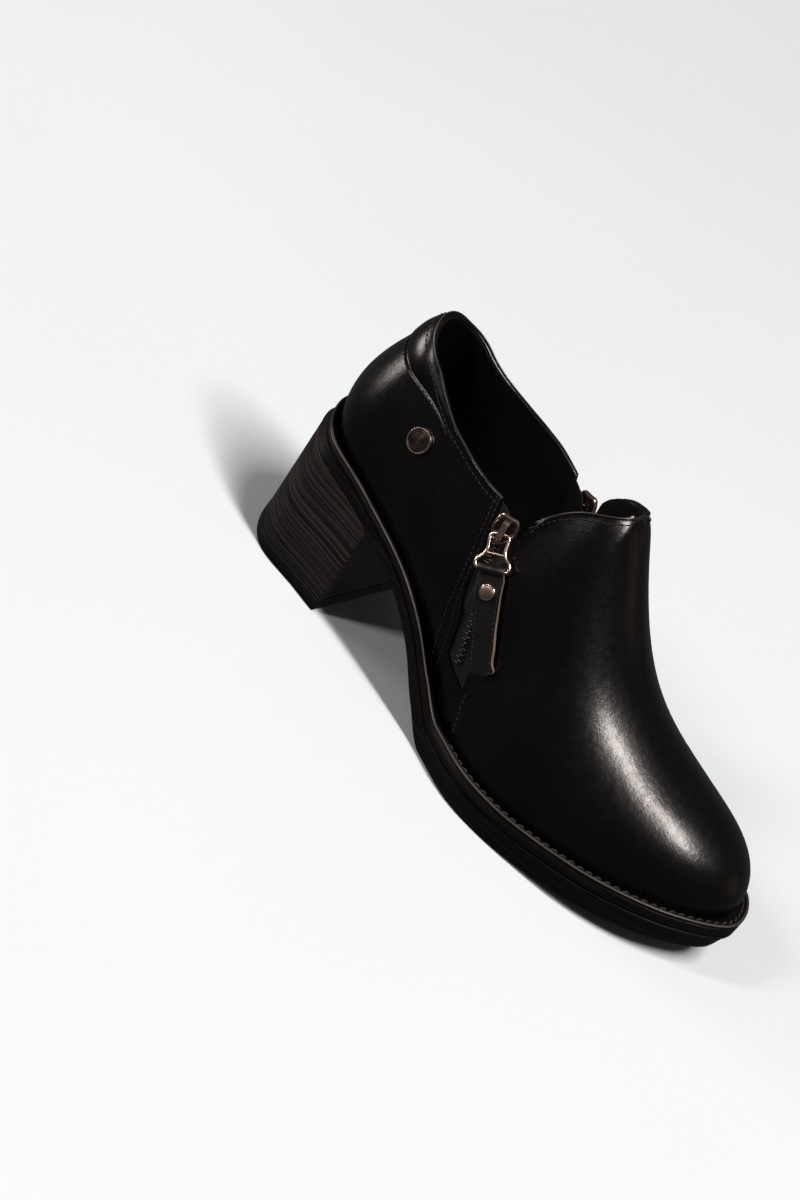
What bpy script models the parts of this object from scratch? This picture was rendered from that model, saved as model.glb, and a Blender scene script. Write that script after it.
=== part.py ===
# Zip ankle boot with a block heel, right shoe, size 38
# Metres, +X to the toe, +Y to the medial side, +Z up, floor at z = 0 under heel and ball
import math

import bmesh
import bpy
import numpy as np
from mathutils import Matrix, Vector

MM = 0.001

# Driving sizes of the sole
SOLE_LENGTH = 258 * MM
BALL_WIDTH = 93 * MM
SOLE_BACK_X = -35 * MM
HEEL_RISE = 52.5 * MM
TOE_SPRING = 11.0 * MM
BALL_THICKNESS = 15.5 * MM
HEEL_THICKNESS = 9.5 * MM
WELT_SHARE = 0.4
GROOVE_WIDTH = 0.8 * MM
RIM_WIDTH = 2.2 * MM
RIM_ROUND = 0.6 * MM
CHANNEL_DEPTH = 1.3 * MM
SIDE_UNDERCUT = 0.8 * MM
TOE_UNDERCUT = 3.0 * MM
BACK_FLARE = 1.6 * MM
TREAD_CHAMFER = 1.0 * MM

# Driving sizes of the heel
HEEL_INSET_TOP = 0.2 * MM
HEEL_TAPER = 1.0 * MM
TOP_LIFT_HEIGHT = 5.5 * MM
TOP_LIFT_STEP = 0.3 * MM

# Driving sizes of the upper
COLLAR_RISE = 61.7 * MM
INSTEP_RISE = 106.5 * MM
COLLAR_BACK_RADIUS = 17.4 * MM
FEATHER_INSET_HEEL = 4.0 * MM
FEATHER_INSET_TOE = 5.0 * MM
WALL = 2.0 * MM
VAMP_STEP = 0.8 * MM
PANEL_STEP = 0.7 * MM
PANEL_PADDING = 1.4 * MM
INSOLE_THICKNESS = 2.5 * MM
CLEARANCE = 0.3 * MM

# Driving sizes of the zips, their pulls and the badge
TAPE_THICKNESS = 0.8 * MM
TAPE_DEPTH = 0.7 * MM
TEETH_WIDTH = 4.6 * MM
TEETH_HEIGHT = 1.1 * MM
SLIDER_LENGTH = 12.5 * MM
SLIDER_WIDTH = 10.0 * MM
SLIDER_THICKNESS = 2.4 * MM
SLIDER_BASE = TEETH_HEIGHT - TAPE_DEPTH + 2.5 * CLEARANCE
BRIDGE_WIDTH = 2.6 * MM
BRIDGE_LENGTH = 9.0 * MM
BRIDGE_BAR = 1.2 * MM
WIRE_DIAMETER = 1.5 * MM
LINK_NECK_WIDTH = 7.8 * MM
LINK_BELL_WIDTH = 13.5 * MM
LINK_LENGTH = 15.5 * MM
LINK_BAR_SHARE = 0.56
LINK_CORNER = 2.2 * MM
WIRE_PLAY = 0.3 * MM
TAB_WIDTH = 10.5 * MM
TAB_LENGTH = 42.0 * MM
TAB_THICKNESS = 1.6 * MM
FOLD_LEATHER = 0.8 * MM
FOLD_RADIUS = 0.5 * WIRE_DIAMETER + CLEARANCE + FOLD_LEATHER
TAB_LIFT = VAMP_STEP + 5 * CLEARANCE
PULL_LENGTH = LINK_LENGTH + TAB_LENGTH
HANG_STEP = 2.5 * MM
TAB_STEPS = 14
TAB_TWIST_LENGTH = 27.0 * MM
RIVET_FROM_BAR = 8.5 * MM
RIVET_DIAMETER = 6.4 * MM
RIVET_HEIGHT = 1.5 * MM
BADGE_DIAMETER = 10.8 * MM
BADGE_HEIGHT = 1.8 * MM

# Where the sole's side starts to slope in at the toe and to flare out at the back
TOE_FROM = 0.80
BACK_TO = 0.16

# Sole outline from the back round the lateral side: shares of sole length and of ball width
SOLE_OUTLINE = (
    # along, across
    (0.000, 0.000),
    (0.059, -0.285),
    (0.168, -0.333),
    (0.328, -0.366),
    (0.477, -0.430),
    (0.605, -0.525),
    (0.746, -0.468),
    (0.863, -0.355),
    (0.949, -0.183),
    (1.000, 0.054),
    (0.961, 0.312),
    (0.867, 0.425),
    (0.742, 0.473),
    (0.605, 0.457),
    (0.430, 0.344),
    (0.215, 0.328),
    (0.062, 0.285),
)

# Underside of the sole and its thickness: shares of heel rise, toe spring and ball thickness
SOLE_LINE = (
    # along, heel, spring, ball
    (0.000, 1.000, 0.00, 0.00),
    (0.098, 0.939, 0.00, 0.00),
    (0.211, 0.827, 0.00, 0.00),
    (0.293, 0.700, 0.00, 0.08),
    (0.371, 0.485, 0.00, 0.35),
    (0.441, 0.195, 0.00, 0.80),
    (0.505, 0.000, 0.00, 1.00),
    (0.656, 0.000, 0.00, 1.00),
    (0.801, 0.000, 0.31, 1.00),
    (0.879, 0.000, 0.59, 1.00),
    (1.000, 0.000, 1.00, 1.00),
)

# Columns of the upper: where each starts on the sole, where it ends at the collar or the ridge,
# and how much it bows on the way
COLUMNS = (
    # foot, top, bow
    (0.129, 0.129, 1.1),
    (0.172, 0.164, 1.1),
    (0.210, 0.195, 1.1),
    (0.254, 0.230, 1.1),
    (0.300, 0.262, 1.1),
    (0.345, 0.290, 1.1),
    (0.385, 0.313, 1.1),
    (0.420, 0.331, 1.1),
    (0.452, 0.345, 1.1),
    (0.488, 0.376, 1.5),
    (0.5240, 0.4070, 2.0),
    (0.5275, 0.4095, 2.0),
    (0.546, 0.4140, 1.9),
    (0.568, 0.4240, 1.8),
    (0.590, 0.4450, 1.7),
    (0.611, 0.4710, 1.6),
    (0.630, 0.4890, 1.5),
    (0.648, 0.4990, 1.5),
    (0.668, 0.5030, 1.5),
    (0.691, 0.538, 1.5),
    (0.713, 0.583, 1.5),
    (0.735, 0.630, 1.5),
    (0.756, 0.676, 1.5),
    (0.778, 0.720, 1.5),
    (0.800, 0.762, 1.5),
    (0.820, 0.803, 1.5),
    (0.840, 0.840, 1.5),
)
BREAST_COLUMN = 2
QUARTER_EDGE_COLUMN = 8
VAMP_EDGE_COLUMN = 11
RIDGE_COLUMN = 18
FAN_STEPS = 14

# Upper edge of the surface: half widths as shares of ball width, heights as shares of the two rises
TOP_EDGE = (
    # along, mid, lateral, medial, lateral collar, medial collar, instep
    (0.061, 0.000, 0.150, 0.150, 1.000, 1.000, 0.000),
    (0.078, 0.000, 0.170, 0.170, 0.943, 0.950, 0.000),
    (0.105, 0.000, 0.182, 0.184, 0.898, 0.915, 0.000),
    (0.129, 0.000, 0.188, 0.190, 0.867, 0.885, 0.000),
    (0.176, 0.000, 0.220, 0.225, 0.812, 0.853, 0.000),
    (0.215, 0.000, 0.237, 0.245, 0.781, 0.865, 0.000),
    (0.262, 0.000, 0.247, 0.257, 0.788, 0.895, 0.000),
    (0.307, 0.000, 0.258, 0.268, 0.831, 0.927, 0.000),
    (0.370, 0.000, 0.258, 0.268, 0.930, 0.963, 0.000),
    (0.4095, 0.000, 0.263, 0.268, 0.000, 0.000, 0.623),
    (0.4140, 0.000, 0.242, 0.245, 0.000, 0.000, 0.683),
    (0.4240, 0.000, 0.215, 0.219, 0.000, 0.000, 0.746),
    (0.4450, 0.000, 0.180, 0.184, 0.000, 0.000, 0.835),
    (0.4710, 0.000, 0.142, 0.145, 0.000, 0.000, 0.920),
    (0.4890, 0.000, 0.104, 0.106, 0.000, 0.000, 0.968),
    (0.4990, 0.000, 0.060, 0.062, 0.000, 0.000, 0.992),
    (0.5030, 0.000, 0.000, 0.000, 0.000, 0.000, 1.000),
    (0.535, -0.004, 0.000, 0.000, 0.000, 0.000, 0.893),
    (0.559, -0.010, 0.000, 0.000, 0.000, 0.000, 0.810),
    (0.590, -0.014, 0.000, 0.000, 0.000, 0.000, 0.716),
    (0.621, -0.012, 0.000, 0.000, 0.000, 0.000, 0.625),
    (0.660, -0.004, 0.000, 0.000, 0.000, 0.000, 0.535),
    (0.703, 0.010, 0.000, 0.000, 0.000, 0.000, 0.463),
    (0.781, 0.034, 0.000, 0.000, 0.000, 0.000, 0.377),
    (0.863, 0.055, 0.000, 0.000, 0.000, 0.000, 0.306),
)

# Fullness of the upper's sections between the sole and the upper edge
FULLNESS = (
    # along, side height, bulge of ball width, shoulder width, shoulder drop
    (0.000, 0.35, 0.105, 0.76, 0.34),
    (0.129, 0.33, 0.060, 0.60, 0.35),
    (0.250, 0.35, 0.055, 0.60, 0.35),
    (0.370, 0.36, 0.062, 0.55, 0.32),
    (0.410, 0.37, 0.064, 0.52, 0.31),
    (0.424, 0.38, 0.064, 0.60, 0.28),
    (0.445, 0.38, 0.064, 0.68, 0.24),
    (0.471, 0.39, 0.060, 0.70, 0.19),
    (0.489, 0.40, 0.055, 0.64, 0.145),
    (0.499, 0.40, 0.052, 0.605, 0.09),
    (0.503, 0.40, 0.050, 0.58, 0.00),
    (0.600, 0.40, 0.040, 0.54, 0.00),
    (0.700, 0.50, 0.036, 0.58, 0.00),
    (0.840, 0.55, 0.034, 0.64, 0.00),
    (1.000, 0.55, 0.030, 0.60, 0.00),
)

# Rows of the upper: shares below and above the seam of the collar panel
LOWER_ROWS = (0.0, 0.055, 0.14, 0.21, 0.29, 0.37, 0.46, 0.55, 0.64, 0.73, 0.82, 0.91, 1.0)
PANEL_ROWS = (0.06, 0.35, 0.7, 1.0)
SLOT_ROW = 2
PANEL_PUFF = (0.0, 0.8, 0.8, 0.0)

# Height of the collar panel's seam on the sections, and how much of its step is left
PANEL_SEAM = (
    # along, seam, step
    (0.061, 0.76, 1.0),
    (0.105, 0.81, 1.0),
    (0.150, 0.89, 0.9),
    (0.175, 0.93, 0.6),
    (0.210, 0.945, 0.0),
    (0.240, 0.95, 0.0),
    (0.480, 0.95, 0.0),
    (0.560, 0.90, 0.0),
)

# Place of slider and badge on the upper's sections, and how far the pulls hang off the zips
SLIDER_SHARE = 0.945
HANG_DEG = 36.0
BADGE_ALONG = 0.186
BADGE_SHARE = 0.68

# Colours
BLACK_LEATHER = (0.012, 0.011, 0.011, 1.0)
BLACK_RUBBER = (0.028, 0.026, 0.025, 1.0)
HEEL_BROWN = (0.03, 0.026, 0.024, 1.0)
LINING_BLACK = (0.02, 0.018, 0.018, 1.0)
TAPE_BLACK = (0.015, 0.015, 0.016, 1.0)
NICKEL = (0.42, 0.37, 0.34, 1.0)


def clear_scene():
    for obj in list(bpy.data.objects):
        bpy.data.objects.remove(obj, do_unlink=True)


def table_columns(table):
    return [np.array(column) for column in zip(*table)]


def smooth(knots, values, at):
    """Monotone cubic through the knots of a table, flat where two values are equal."""
    step = np.diff(knots)
    slope = np.diff(values) / step
    tangent = np.zeros(len(knots))
    for i in range(1, len(knots) - 1):
        if slope[i - 1] * slope[i] > 0:
            left = 2 * step[i] + step[i - 1]
            right = step[i] + 2 * step[i - 1]
            tangent[i] = (left + right) / (left / slope[i - 1] + right / slope[i])
    tangent[0], tangent[-1] = slope[0], slope[-1]
    at = min(max(at, knots[0]), knots[-1])
    i = min(int(np.searchsorted(knots, at, side="right")) - 1, len(knots) - 2)
    u = (at - knots[i]) / step[i]
    return ((1 + 2 * u) * (1 - u) ** 2 * values[i]
            + u * (1 - u) ** 2 * step[i] * tangent[i]
            + u * u * (3 - 2 * u) * values[i + 1]
            + u * u * (u - 1) * step[i] * tangent[i + 1])


def along(x):
    return (x - SOLE_BACK_X) / SOLE_LENGTH


def x_at(share):
    return SOLE_BACK_X + share * SOLE_LENGTH


LINE = table_columns(SOLE_LINE)
EDGE = table_columns(TOP_EDGE)
FULL = table_columns(FULLNESS)
SEAM = table_columns(PANEL_SEAM)


def sole_bottom(x):
    share = along(x)
    return HEEL_RISE * smooth(LINE[0], LINE[1], share) + TOE_SPRING * smooth(LINE[0], LINE[2], share)


def sole_thickness(x):
    ball = smooth(LINE[0], LINE[3], along(x))
    return HEEL_THICKNESS + (BALL_THICKNESS - HEEL_THICKNESS) * ball


def sole_top(x):
    return sole_bottom(x) + sole_thickness(x)


def sole_split(x):
    return sole_top(x) - WELT_SHARE * sole_thickness(x)


def seat(x):
    return sole_top(x) - CHANNEL_DEPTH


def middle(x):
    return BALL_WIDTH * smooth(EDGE[0], EDGE[1], along(x))


def closed_curve(points, steps):
    """Smooth closed curve through the points, with some steps on each stretch."""
    curve = []
    count = len(points)
    for i in range(count):
        before, here, after, later = (points[(i + k) % count] for k in (-1, 0, 1, 2))
        for u in np.arange(steps) / steps:
            curve.append(0.5 * (2 * here + (after - before) * u
                                + (2 * before - 5 * here + 4 * after - later) * u * u
                                + (3 * here - before - 3 * after + later) * u ** 3))
    return np.array(curve)


def sole_outline():
    points = [np.array((x_at(a), BALL_WIDTH * c)) for a, c in SOLE_OUTLINE]
    return closed_curve(points, 12)


OUTLINE = sole_outline()


def inset_outline(inset):
    """Outline moved inwards by a distance that may depend on x."""
    tangent = np.roll(OUTLINE, -1, axis=0) - np.roll(OUTLINE, 1, axis=0)
    inward = np.column_stack((-tangent[:, 1], tangent[:, 0]))
    inward /= np.linalg.norm(inward, axis=1)[:, None]
    distance = np.array([inset(x) for x in OUTLINE[:, 0]])
    return OUTLINE + inward * distance[:, None]


def reach(outline, centre, direction):
    """Distance from a centre to the outline in a direction."""
    start = outline - centre
    edge = np.roll(outline, -1, axis=0) - outline
    cross = direction[0] * edge[:, 1] - direction[1] * edge[:, 0]
    cross = np.where(np.abs(cross) < 1e-15, 1e-15, cross)
    distance = (start[:, 0] * edge[:, 1] - start[:, 1] * edge[:, 0]) / cross
    share = (start[:, 0] * direction[1] - start[:, 1] * direction[0]) / cross
    hits = distance[(share >= -1e-9) & (share <= 1 + 1e-9) & (distance > 0)]
    return hits.min()


def constant(value):
    return lambda x: value


def feather_inset(x):
    ball = smooth(LINE[0], LINE[3], along(x))
    return FEATHER_INSET_HEEL + (FEATHER_INSET_TOE - FEATHER_INSET_HEEL) * ball


def undercut(x):
    """How far the sole's lower edge lies inside its upper edge; it flares out at the back."""
    toe = min(max((along(x) - TOE_FROM) / (1 - TOE_FROM), 0.0), 1.0)
    back = min(max(1 - along(x) / BACK_TO, 0.0), 1.0)
    return (SIDE_UNDERCUT + (TOE_UNDERCUT - SIDE_UNDERCUT) * toe * toe
            - (SIDE_UNDERCUT + BACK_FLARE) * back)


FEATHER = inset_outline(feather_inset)
HEEL_CENTRE = np.array((x_at(COLUMNS[0][0]), 0.0))
TOE_CENTRE = np.array((x_at(COLUMNS[-1][0]), middle(x_at(COLUMNS[-1][0]))))


def fan(centre, start_deg):
    """Directions of the columns that turn round the toe or the heel."""
    turns = []
    for i in range(1, FAN_STEPS):
        angle = math.radians(start_deg + 180.0 * i / FAN_STEPS)
        turns.append((centre, np.array((math.cos(angle), math.sin(angle)))))
    return turns


def sole_columns(last=None):
    """Centre and direction of each column: lateral side, toe, medial side, back."""
    feet = [x_at(foot) for foot, top, bow in COLUMNS[:last]]
    lateral = [(np.array((x, middle(x))), np.array((0.0, -1.0))) for x in feet]
    medial = [(centre, -direction) for centre, direction in reversed(lateral)]
    toe = fan(TOE_CENTRE, -90.0) if last is None else []
    return lateral + toe + medial + fan(HEEL_CENTRE, 90.0)


def ring(columns, outline, height):
    """Points where the columns meet an outline, at a height that depends on x."""
    points = []
    for centre, direction in columns:
        x, y = centre + direction * reach(outline, centre, direction)
        points.append((x, y, height(x)))
    return points


def new_object(name, verts, faces, material):
    mesh = bpy.data.meshes.new(name)
    bm = bmesh.new()
    made = [bm.verts.new(v) for v in verts]
    for face in faces:
        bm.faces.new([made[i] for i in face])
    bmesh.ops.recalc_face_normals(bm, faces=bm.faces)
    bm.to_mesh(mesh)
    bm.free()
    mesh.shade_smooth()
    mesh.set_sharp_from_angle(angle=math.radians(35))
    mesh.materials.append(material)
    obj = bpy.data.objects.new(name, mesh)
    bpy.context.scene.collection.objects.link(obj)
    return obj


def cap(first, verts, height, last=None):
    """Faces across one ring: fans at heel and toe, strips between the two sides."""
    count = len(COLUMNS[:last])
    total = 2 * count + (FAN_STEPS - 1) * (2 if last is None else 1)
    toe_turns = FAN_STEPS - 1 if last is None else 0
    faces = []
    for k in range(count - 1):
        mirror = 2 * count + toe_turns - 1 - k
        faces.append((first + k, first + k + 1, first + mirror - 1, first + mirror))
    heel = len(verts)
    verts.append((HEEL_CENTRE[0], HEEL_CENTRE[1], height(HEEL_CENTRE[0])))
    back = list(range(2 * count + toe_turns - 1, total)) + [0]
    faces += [(heel, first + a, first + b) for a, b in zip(back, back[1:])]
    faces.append((heel, first + back[-1], first + back[0]))
    if last is None:
        toe = len(verts)
        verts.append((TOE_CENTRE[0], TOE_CENTRE[1], height(TOE_CENTRE[0])))
        front = range(count - 1, count + toe_turns)
        faces += [(toe, first + a, first + a + 1) for a in front]
        faces.append((toe, first + count + toe_turns, first + count - 1))
    return faces


def plate(name, layers, material, last=None):
    """Solid of stacked rings, each an inset and a height, closed by a cap at both ends."""
    columns = sole_columns(last)
    count = len(columns)
    verts = []
    for inset, height in layers:
        verts += ring(columns, inset_outline(inset), height)
    faces = []
    for level in range(len(layers) - 1):
        for k in range(count):
            after = (k + 1) % count
            faces.append((level * count + k, level * count + after,
                          (level + 1) * count + after, (level + 1) * count + k))
    faces += cap(0, verts, layers[0][1], last)
    faces += cap((len(layers) - 1) * count, verts, layers[-1][1], last)
    return new_object(name, verts, faces, material)


def lifted(height, rise):
    return lambda x: height(x) + rise


def make_welt(material):
    layers = (
        (constant(GROOVE_WIDTH), sole_split),
        (constant(0.2 * GROOVE_WIDTH), lifted(sole_split, GROOVE_WIDTH)),
        (constant(0.0), lifted(sole_top, -2 * RIM_ROUND)),
        (constant(RIM_ROUND), sole_top),
        (constant(RIM_WIDTH), sole_top),
        (constant(RIM_WIDTH + RIM_ROUND), seat),
    )
    return plate("welt", layers, material)


def make_outsole(material):
    def inner_side(x):
        return GROOVE_WIDTH + 0.35 * undercut(x)

    def tread_edge(x):
        return undercut(x) + TREAD_CHAMFER

    def middle_height(x):
        return 0.5 * (sole_bottom(x) + sole_split(x))

    layers = (
        (tread_edge, sole_bottom),
        (undercut, lifted(sole_bottom, TREAD_CHAMFER)),
        (inner_side, middle_height),
        (constant(0.4 * GROOVE_WIDTH), lifted(sole_split, -GROOVE_WIDTH - CLEARANCE)),
        (constant(GROOVE_WIDTH), lifted(sole_split, -CLEARANCE)),
    )
    return plate("outsole", layers, material)


def make_heel(material, lift_material):
    def heel_top_inset(x):
        return undercut(x) + HEEL_INSET_TOP

    def foot_inset(x):
        return HEEL_TAPER + 0.5 * (undercut(x) - SIDE_UNDERCUT)

    def lift_side(x):
        return foot_inset(x) - TOP_LIFT_STEP

    def lift_edge(x):
        return foot_inset(x) + TOP_LIFT_STEP

    block = (
        (foot_inset, constant(TOP_LIFT_HEIGHT + CLEARANCE)),
        (heel_top_inset, lifted(sole_bottom, -CLEARANCE)),
    )
    lift = (
        (lift_edge, constant(0.0)),
        (lift_side, constant(2 * TOP_LIFT_STEP)),
        (lift_side, constant(TOP_LIFT_HEIGHT)),
    )
    plate("heel_block", block, material, last=BREAST_COLUMN + 1)
    plate("top_lift", lift, lift_material, last=BREAST_COLUMN + 1)


def make_insole(material):
    def insole_edge(x):
        return feather_inset(x) + WALL + 2 * CLEARANCE

    layers = (
        (insole_edge, lifted(seat, CLEARANCE)),
        (insole_edge, lifted(seat, CLEARANCE + INSOLE_THICKNESS)),
    )
    return plate("insole", layers, material)


def edge_height(x, side):
    share = along(x)
    collar = smooth(EDGE[0], EDGE[4] if side < 0 else EDGE[5], share)
    instep = smooth(EDGE[0], EDGE[6], share)
    return seat(x) + collar * COLLAR_RISE + instep * INSTEP_RISE


def edge_width(x, side):
    return BALL_WIDTH * smooth(EDGE[0], EDGE[2] if side < 0 else EDGE[3], along(x))


def section_point(centre, direction, top_reach, side, v):
    """Point of the upper in the upright plane of a direction, v = 0 on the sole, 1 at the edge."""
    foot_reach = reach(FEATHER, centre, direction)
    foot_x = centre[0] + direction[0] * foot_reach
    top_x = centre[0] + direction[0] * top_reach
    share = along(foot_x)
    side_height, bulge, shoulder, drop = (smooth(FULL[0], FULL[i], share) for i in (1, 2, 3, 4))
    low = seat(foot_x) + CLEARANCE
    high = edge_height(top_x, side)
    rise = high - low
    shoulder_reach = top_reach + shoulder * (foot_reach - top_reach)
    ridge_slope = TOE_SLOPE * direction[0] * shoulder_reach if direction[0] > 0 else 0.0
    reaches = (foot_reach, foot_reach + bulge * BALL_WIDTH, shoulder_reach, top_reach)
    heights = (low, low + side_height * rise, high - drop * rise + ridge_slope, high)
    weights = ((1 - v) ** 3, 3 * v * (1 - v) ** 2, 3 * v * v * (1 - v), v ** 3)
    out = sum(w * r for w, r in zip(weights, reaches))
    height = sum(w * h for w, h in zip(weights, heights))
    plan = centre + direction * out
    return np.array((plan[0], plan[1], height))


def side_point(x, side, v):
    centre = np.array((x, middle(x)))
    return section_point(centre, np.array((0.0, float(side))), edge_width(x, side), side, v)


def column_x(column, v):
    """Columns lean back from the sole towards the collar."""
    foot, top, bow = COLUMNS[column]
    lean = 1 - abs(1 - v) ** bow
    return x_at(foot + (top - foot) * lean)


def toe_slope():
    x, step = TOE_CENTRE[0], 2 * MM
    return (edge_height(x, -1) - edge_height(x - step, -1)) / step


TOE_SLOPE = toe_slope()


def upper_columns():
    """For each column a function of v, its place along the collar and whether it ends on the ridge."""
    columns = []
    stations = range(len(COLUMNS))
    for side, order in ((-1, stations), (1, reversed(stations))):
        for i in order:
            columns.append((lambda v, i=i, s=side: side_point(column_x(i, v), s, v), COLUMNS[i][1], i, side))
        centre, start, radius = (TOE_CENTRE, -90.0, 0.0) if side < 0 else (HEEL_CENTRE, 90.0, COLLAR_BACK_RADIUS)
        for at, direction in fan(centre, start):
            half = -1 if direction[1] < 0 else 1
            top = along(centre[0] + direction[0] * radius)
            columns.append((lambda v, c=at, d=direction, r=radius, s=half: section_point(c, d, r, s, v),
                            top, None, half))
    return columns


def row_share(top, row):
    seam = smooth(SEAM[0], SEAM[1], top)
    if row < len(LOWER_ROWS):
        return seam * LOWER_ROWS[row]
    return seam + (1 - seam) * PANEL_ROWS[row - len(LOWER_ROWS)]


ROWS = len(LOWER_ROWS) + len(PANEL_ROWS)


def upper_grid():
    """Points of the upper's form, with one index for each point that several columns share."""
    columns = upper_columns()
    stations = len(COLUMNS)
    toe_first = stations
    medial_first = stations + FAN_STEPS - 1
    index = np.zeros((len(columns), ROWS), int)
    points = []
    for k, (curve, top, station, side) in enumerate(columns):
        for j in range(ROWS):
            if j == ROWS - 1:
                on_toe = toe_first <= k < medial_first
                mirror = medial_first + stations - 1 - k
                if on_toe:
                    index[k, j] = index[stations - 1, j]
                    continue
                if side > 0 and station is not None and station >= RIDGE_COLUMN:
                    index[k, j] = index[mirror, j]
                    continue
            index[k, j] = len(points)
            points.append(curve(row_share(top, j)))
    return columns, index, np.array(points)


def grid_faces(index, keep):
    """Quads of the grid, as tuples of column and row pairs; points that coincide are merged."""
    count = len(index)
    faces = []
    for k in range(count):
        after = (k + 1) % count
        for j in range(ROWS - 1):
            if keep(k, j):
                corners = (index[k, j], index[after, j], index[after, j + 1], index[k, j + 1])
                faces.append(tuple(dict.fromkeys(int(c) for c in corners)))
    return faces


def point_normals(points, faces):
    normals = np.zeros_like(points)
    for face in faces:
        corners = points[list(face)]
        normal = sum(np.cross(corners[i] - corners[0], corners[i + 1] - corners[0])
                     for i in range(1, len(face) - 1))
        for i in face:
            normals[i] += normal
    return normals / np.linalg.norm(normals, axis=1)[:, None]


def upper_steps(columns, index, count):
    """How far each point stands out: the vamp over the quarters, the padded collar panel."""
    out = np.zeros(count)
    for k, (curve, top, station, side) in enumerate(columns):
        on_vamp = along(TOE_CENTRE[0]) <= top or (station is not None and station >= VAMP_EDGE_COLUMN)
        step = smooth(SEAM[0], SEAM[2], top)
        for j in range(ROWS):
            out[index[k, j]] = VAMP_STEP if on_vamp else 0.0
            panel = j - len(LOWER_ROWS)
            if panel >= 0 and step > 0:
                out[index[k, j]] = step * (PANEL_STEP + PANEL_PADDING * PANEL_PUFF[panel])
    return out


def make_upper(material):
    columns, index, points = upper_grid()
    normals = point_normals(points, grid_faces(index, lambda k, j: True))
    stations = len(COLUMNS)
    total = len(columns)
    last_medial = 2 * stations + FAN_STEPS - 2
    lateral_slot = range(QUARTER_EDGE_COLUMN, VAMP_EDGE_COLUMN - 1)
    medial_slot = range(last_medial - VAMP_EDGE_COLUMN + 1, last_medial - QUARTER_EDGE_COLUMN)
    slots = list(lateral_slot) + list(medial_slot)

    def in_slot(k, j):
        return k in slots and j >= SLOT_ROW

    def open_top(k):
        return k < RIDGE_COLUMN or k >= last_medial - RIDGE_COLUMN

    outer = points + normals * upper_steps(columns, index, len(points))[:, None]
    inner = points - normals * WALL
    for k in range(total):
        low = index[k, 0]
        inner[low, 2] = seat(inner[low, 0]) + CLEARANCE
        outer[low, 2] = seat(outer[low, 0]) + CLEARANCE
    shift = len(points)
    skin = grid_faces(index, lambda k, j: not in_slot(k, j))
    faces = skin + [tuple(i + shift for i in reversed(face)) for face in skin]

    def wall(a, b):
        faces.append((int(a), int(b), int(b) + shift, int(a) + shift))

    for k in range(total):
        after = (k + 1) % total
        wall(index[k, 0], index[after, 0])
        if open_top(k) and k not in slots:
            wall(index[k, -1], index[after, -1])
        if k in slots:
            wall(index[k, SLOT_ROW], index[after, SLOT_ROW])
        for edge, inside in ((k, k), (after, k)):
            beyond = k - 1 if edge == k else after
            if k in slots and beyond not in slots:
                for j in range(SLOT_ROW, ROWS - 1):
                    wall(index[edge, j], index[edge, j + 1])
    return new_object("upper", list(np.vstack((outer, inner))), faces, material)


def surface(side, x, v):
    """Point of the upper and its outward normal."""
    step = 0.4 * MM
    turn = -0.01 if v > 0.5 else 0.01
    point = side_point(x, side, v)
    forward = side_point(x + step, side, v) - point
    up = (side_point(x, side, v + turn) - point) / turn
    normal = np.cross(forward, up) * -side
    return point, normal / np.linalg.norm(normal)


def surface_at_height(side, x, z):
    low, high = 0.0, 1.1
    for _ in range(24):
        half = 0.5 * (low + high)
        if side_point(x, side, half)[2] < z:
            low = half
        else:
            high = half
    return surface(side, x, low)


def unit(vector):
    return vector / np.linalg.norm(vector)


def zip_x(across, v):
    """Across the slot, 0 at the quarter's edge and 1 at the vamp's edge."""
    rear = column_x(QUARTER_EDGE_COLUMN, v)
    front = column_x(VAMP_EDGE_COLUMN - 1, v)
    return rear + across * (front - rear)


def zip_point(side, across, v, out):
    point, normal = surface(side, zip_x(across, v), v)
    return point + normal * out


def make_zip_tape(name, side, material):
    """Tape in the slot with the closed row of teeth down its middle."""
    top = COLUMNS[VAMP_EDGE_COLUMN - 2][1]
    rows = [row_share(top, j) for j in range(SLOT_ROW, ROWS)]
    start = side_point(zip_x(0.5, rows[0]), side, rows[0])
    step = np.linalg.norm(side_point(zip_x(0.5, rows[1]), side, rows[1]) - start)
    rows[0] += 2 * CLEARANCE * (rows[1] - rows[0]) / step
    verts = []
    for v in rows:
        width = np.linalg.norm(zip_point(side, 1, v, 0) - zip_point(side, 0, v, 0))
        gap = 2 * CLEARANCE / width
        tooth = 0.5 * TEETH_WIDTH / width
        face, back = -TAPE_DEPTH, -TAPE_DEPTH - TAPE_THICKNESS
        section = ((gap, back), (0.5, back), (1 - gap, back), (1 - gap, face), (0.5 + tooth, face),
                   (0.5 + tooth, face + TEETH_HEIGHT), (0.5 - tooth, face + TEETH_HEIGHT),
                   (0.5 - tooth, face), (gap, face))
        verts += [zip_point(side, across, v, out) for across, out in section]
    sides = 9
    faces = []
    for i in range(len(rows) - 1):
        for k in range(sides):
            after = (k + 1) % sides
            faces.append((i * sides + k, i * sides + after, (i + 1) * sides + after, (i + 1) * sides + k))
    faces.append(tuple(range(sides)))
    faces.append(tuple(range(len(verts) - sides, len(verts))))
    return new_object(name, verts, faces, material)


def prism_of_cells(low, high, cells):
    """Solid between two copies of a flat net of cells; its free edges become walls."""
    count = len(low)
    faces = [tuple(cell) for cell in cells] + [tuple(i + count for i in reversed(cell)) for cell in cells]
    edges = [(cell[i], cell[(i + 1) % len(cell)]) for cell in cells for i in range(len(cell))]
    for a, b in edges:
        if (b, a) not in edges:
            faces.append((a, b, b + count, a + count))
    return list(low) + list(high), faces


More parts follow.
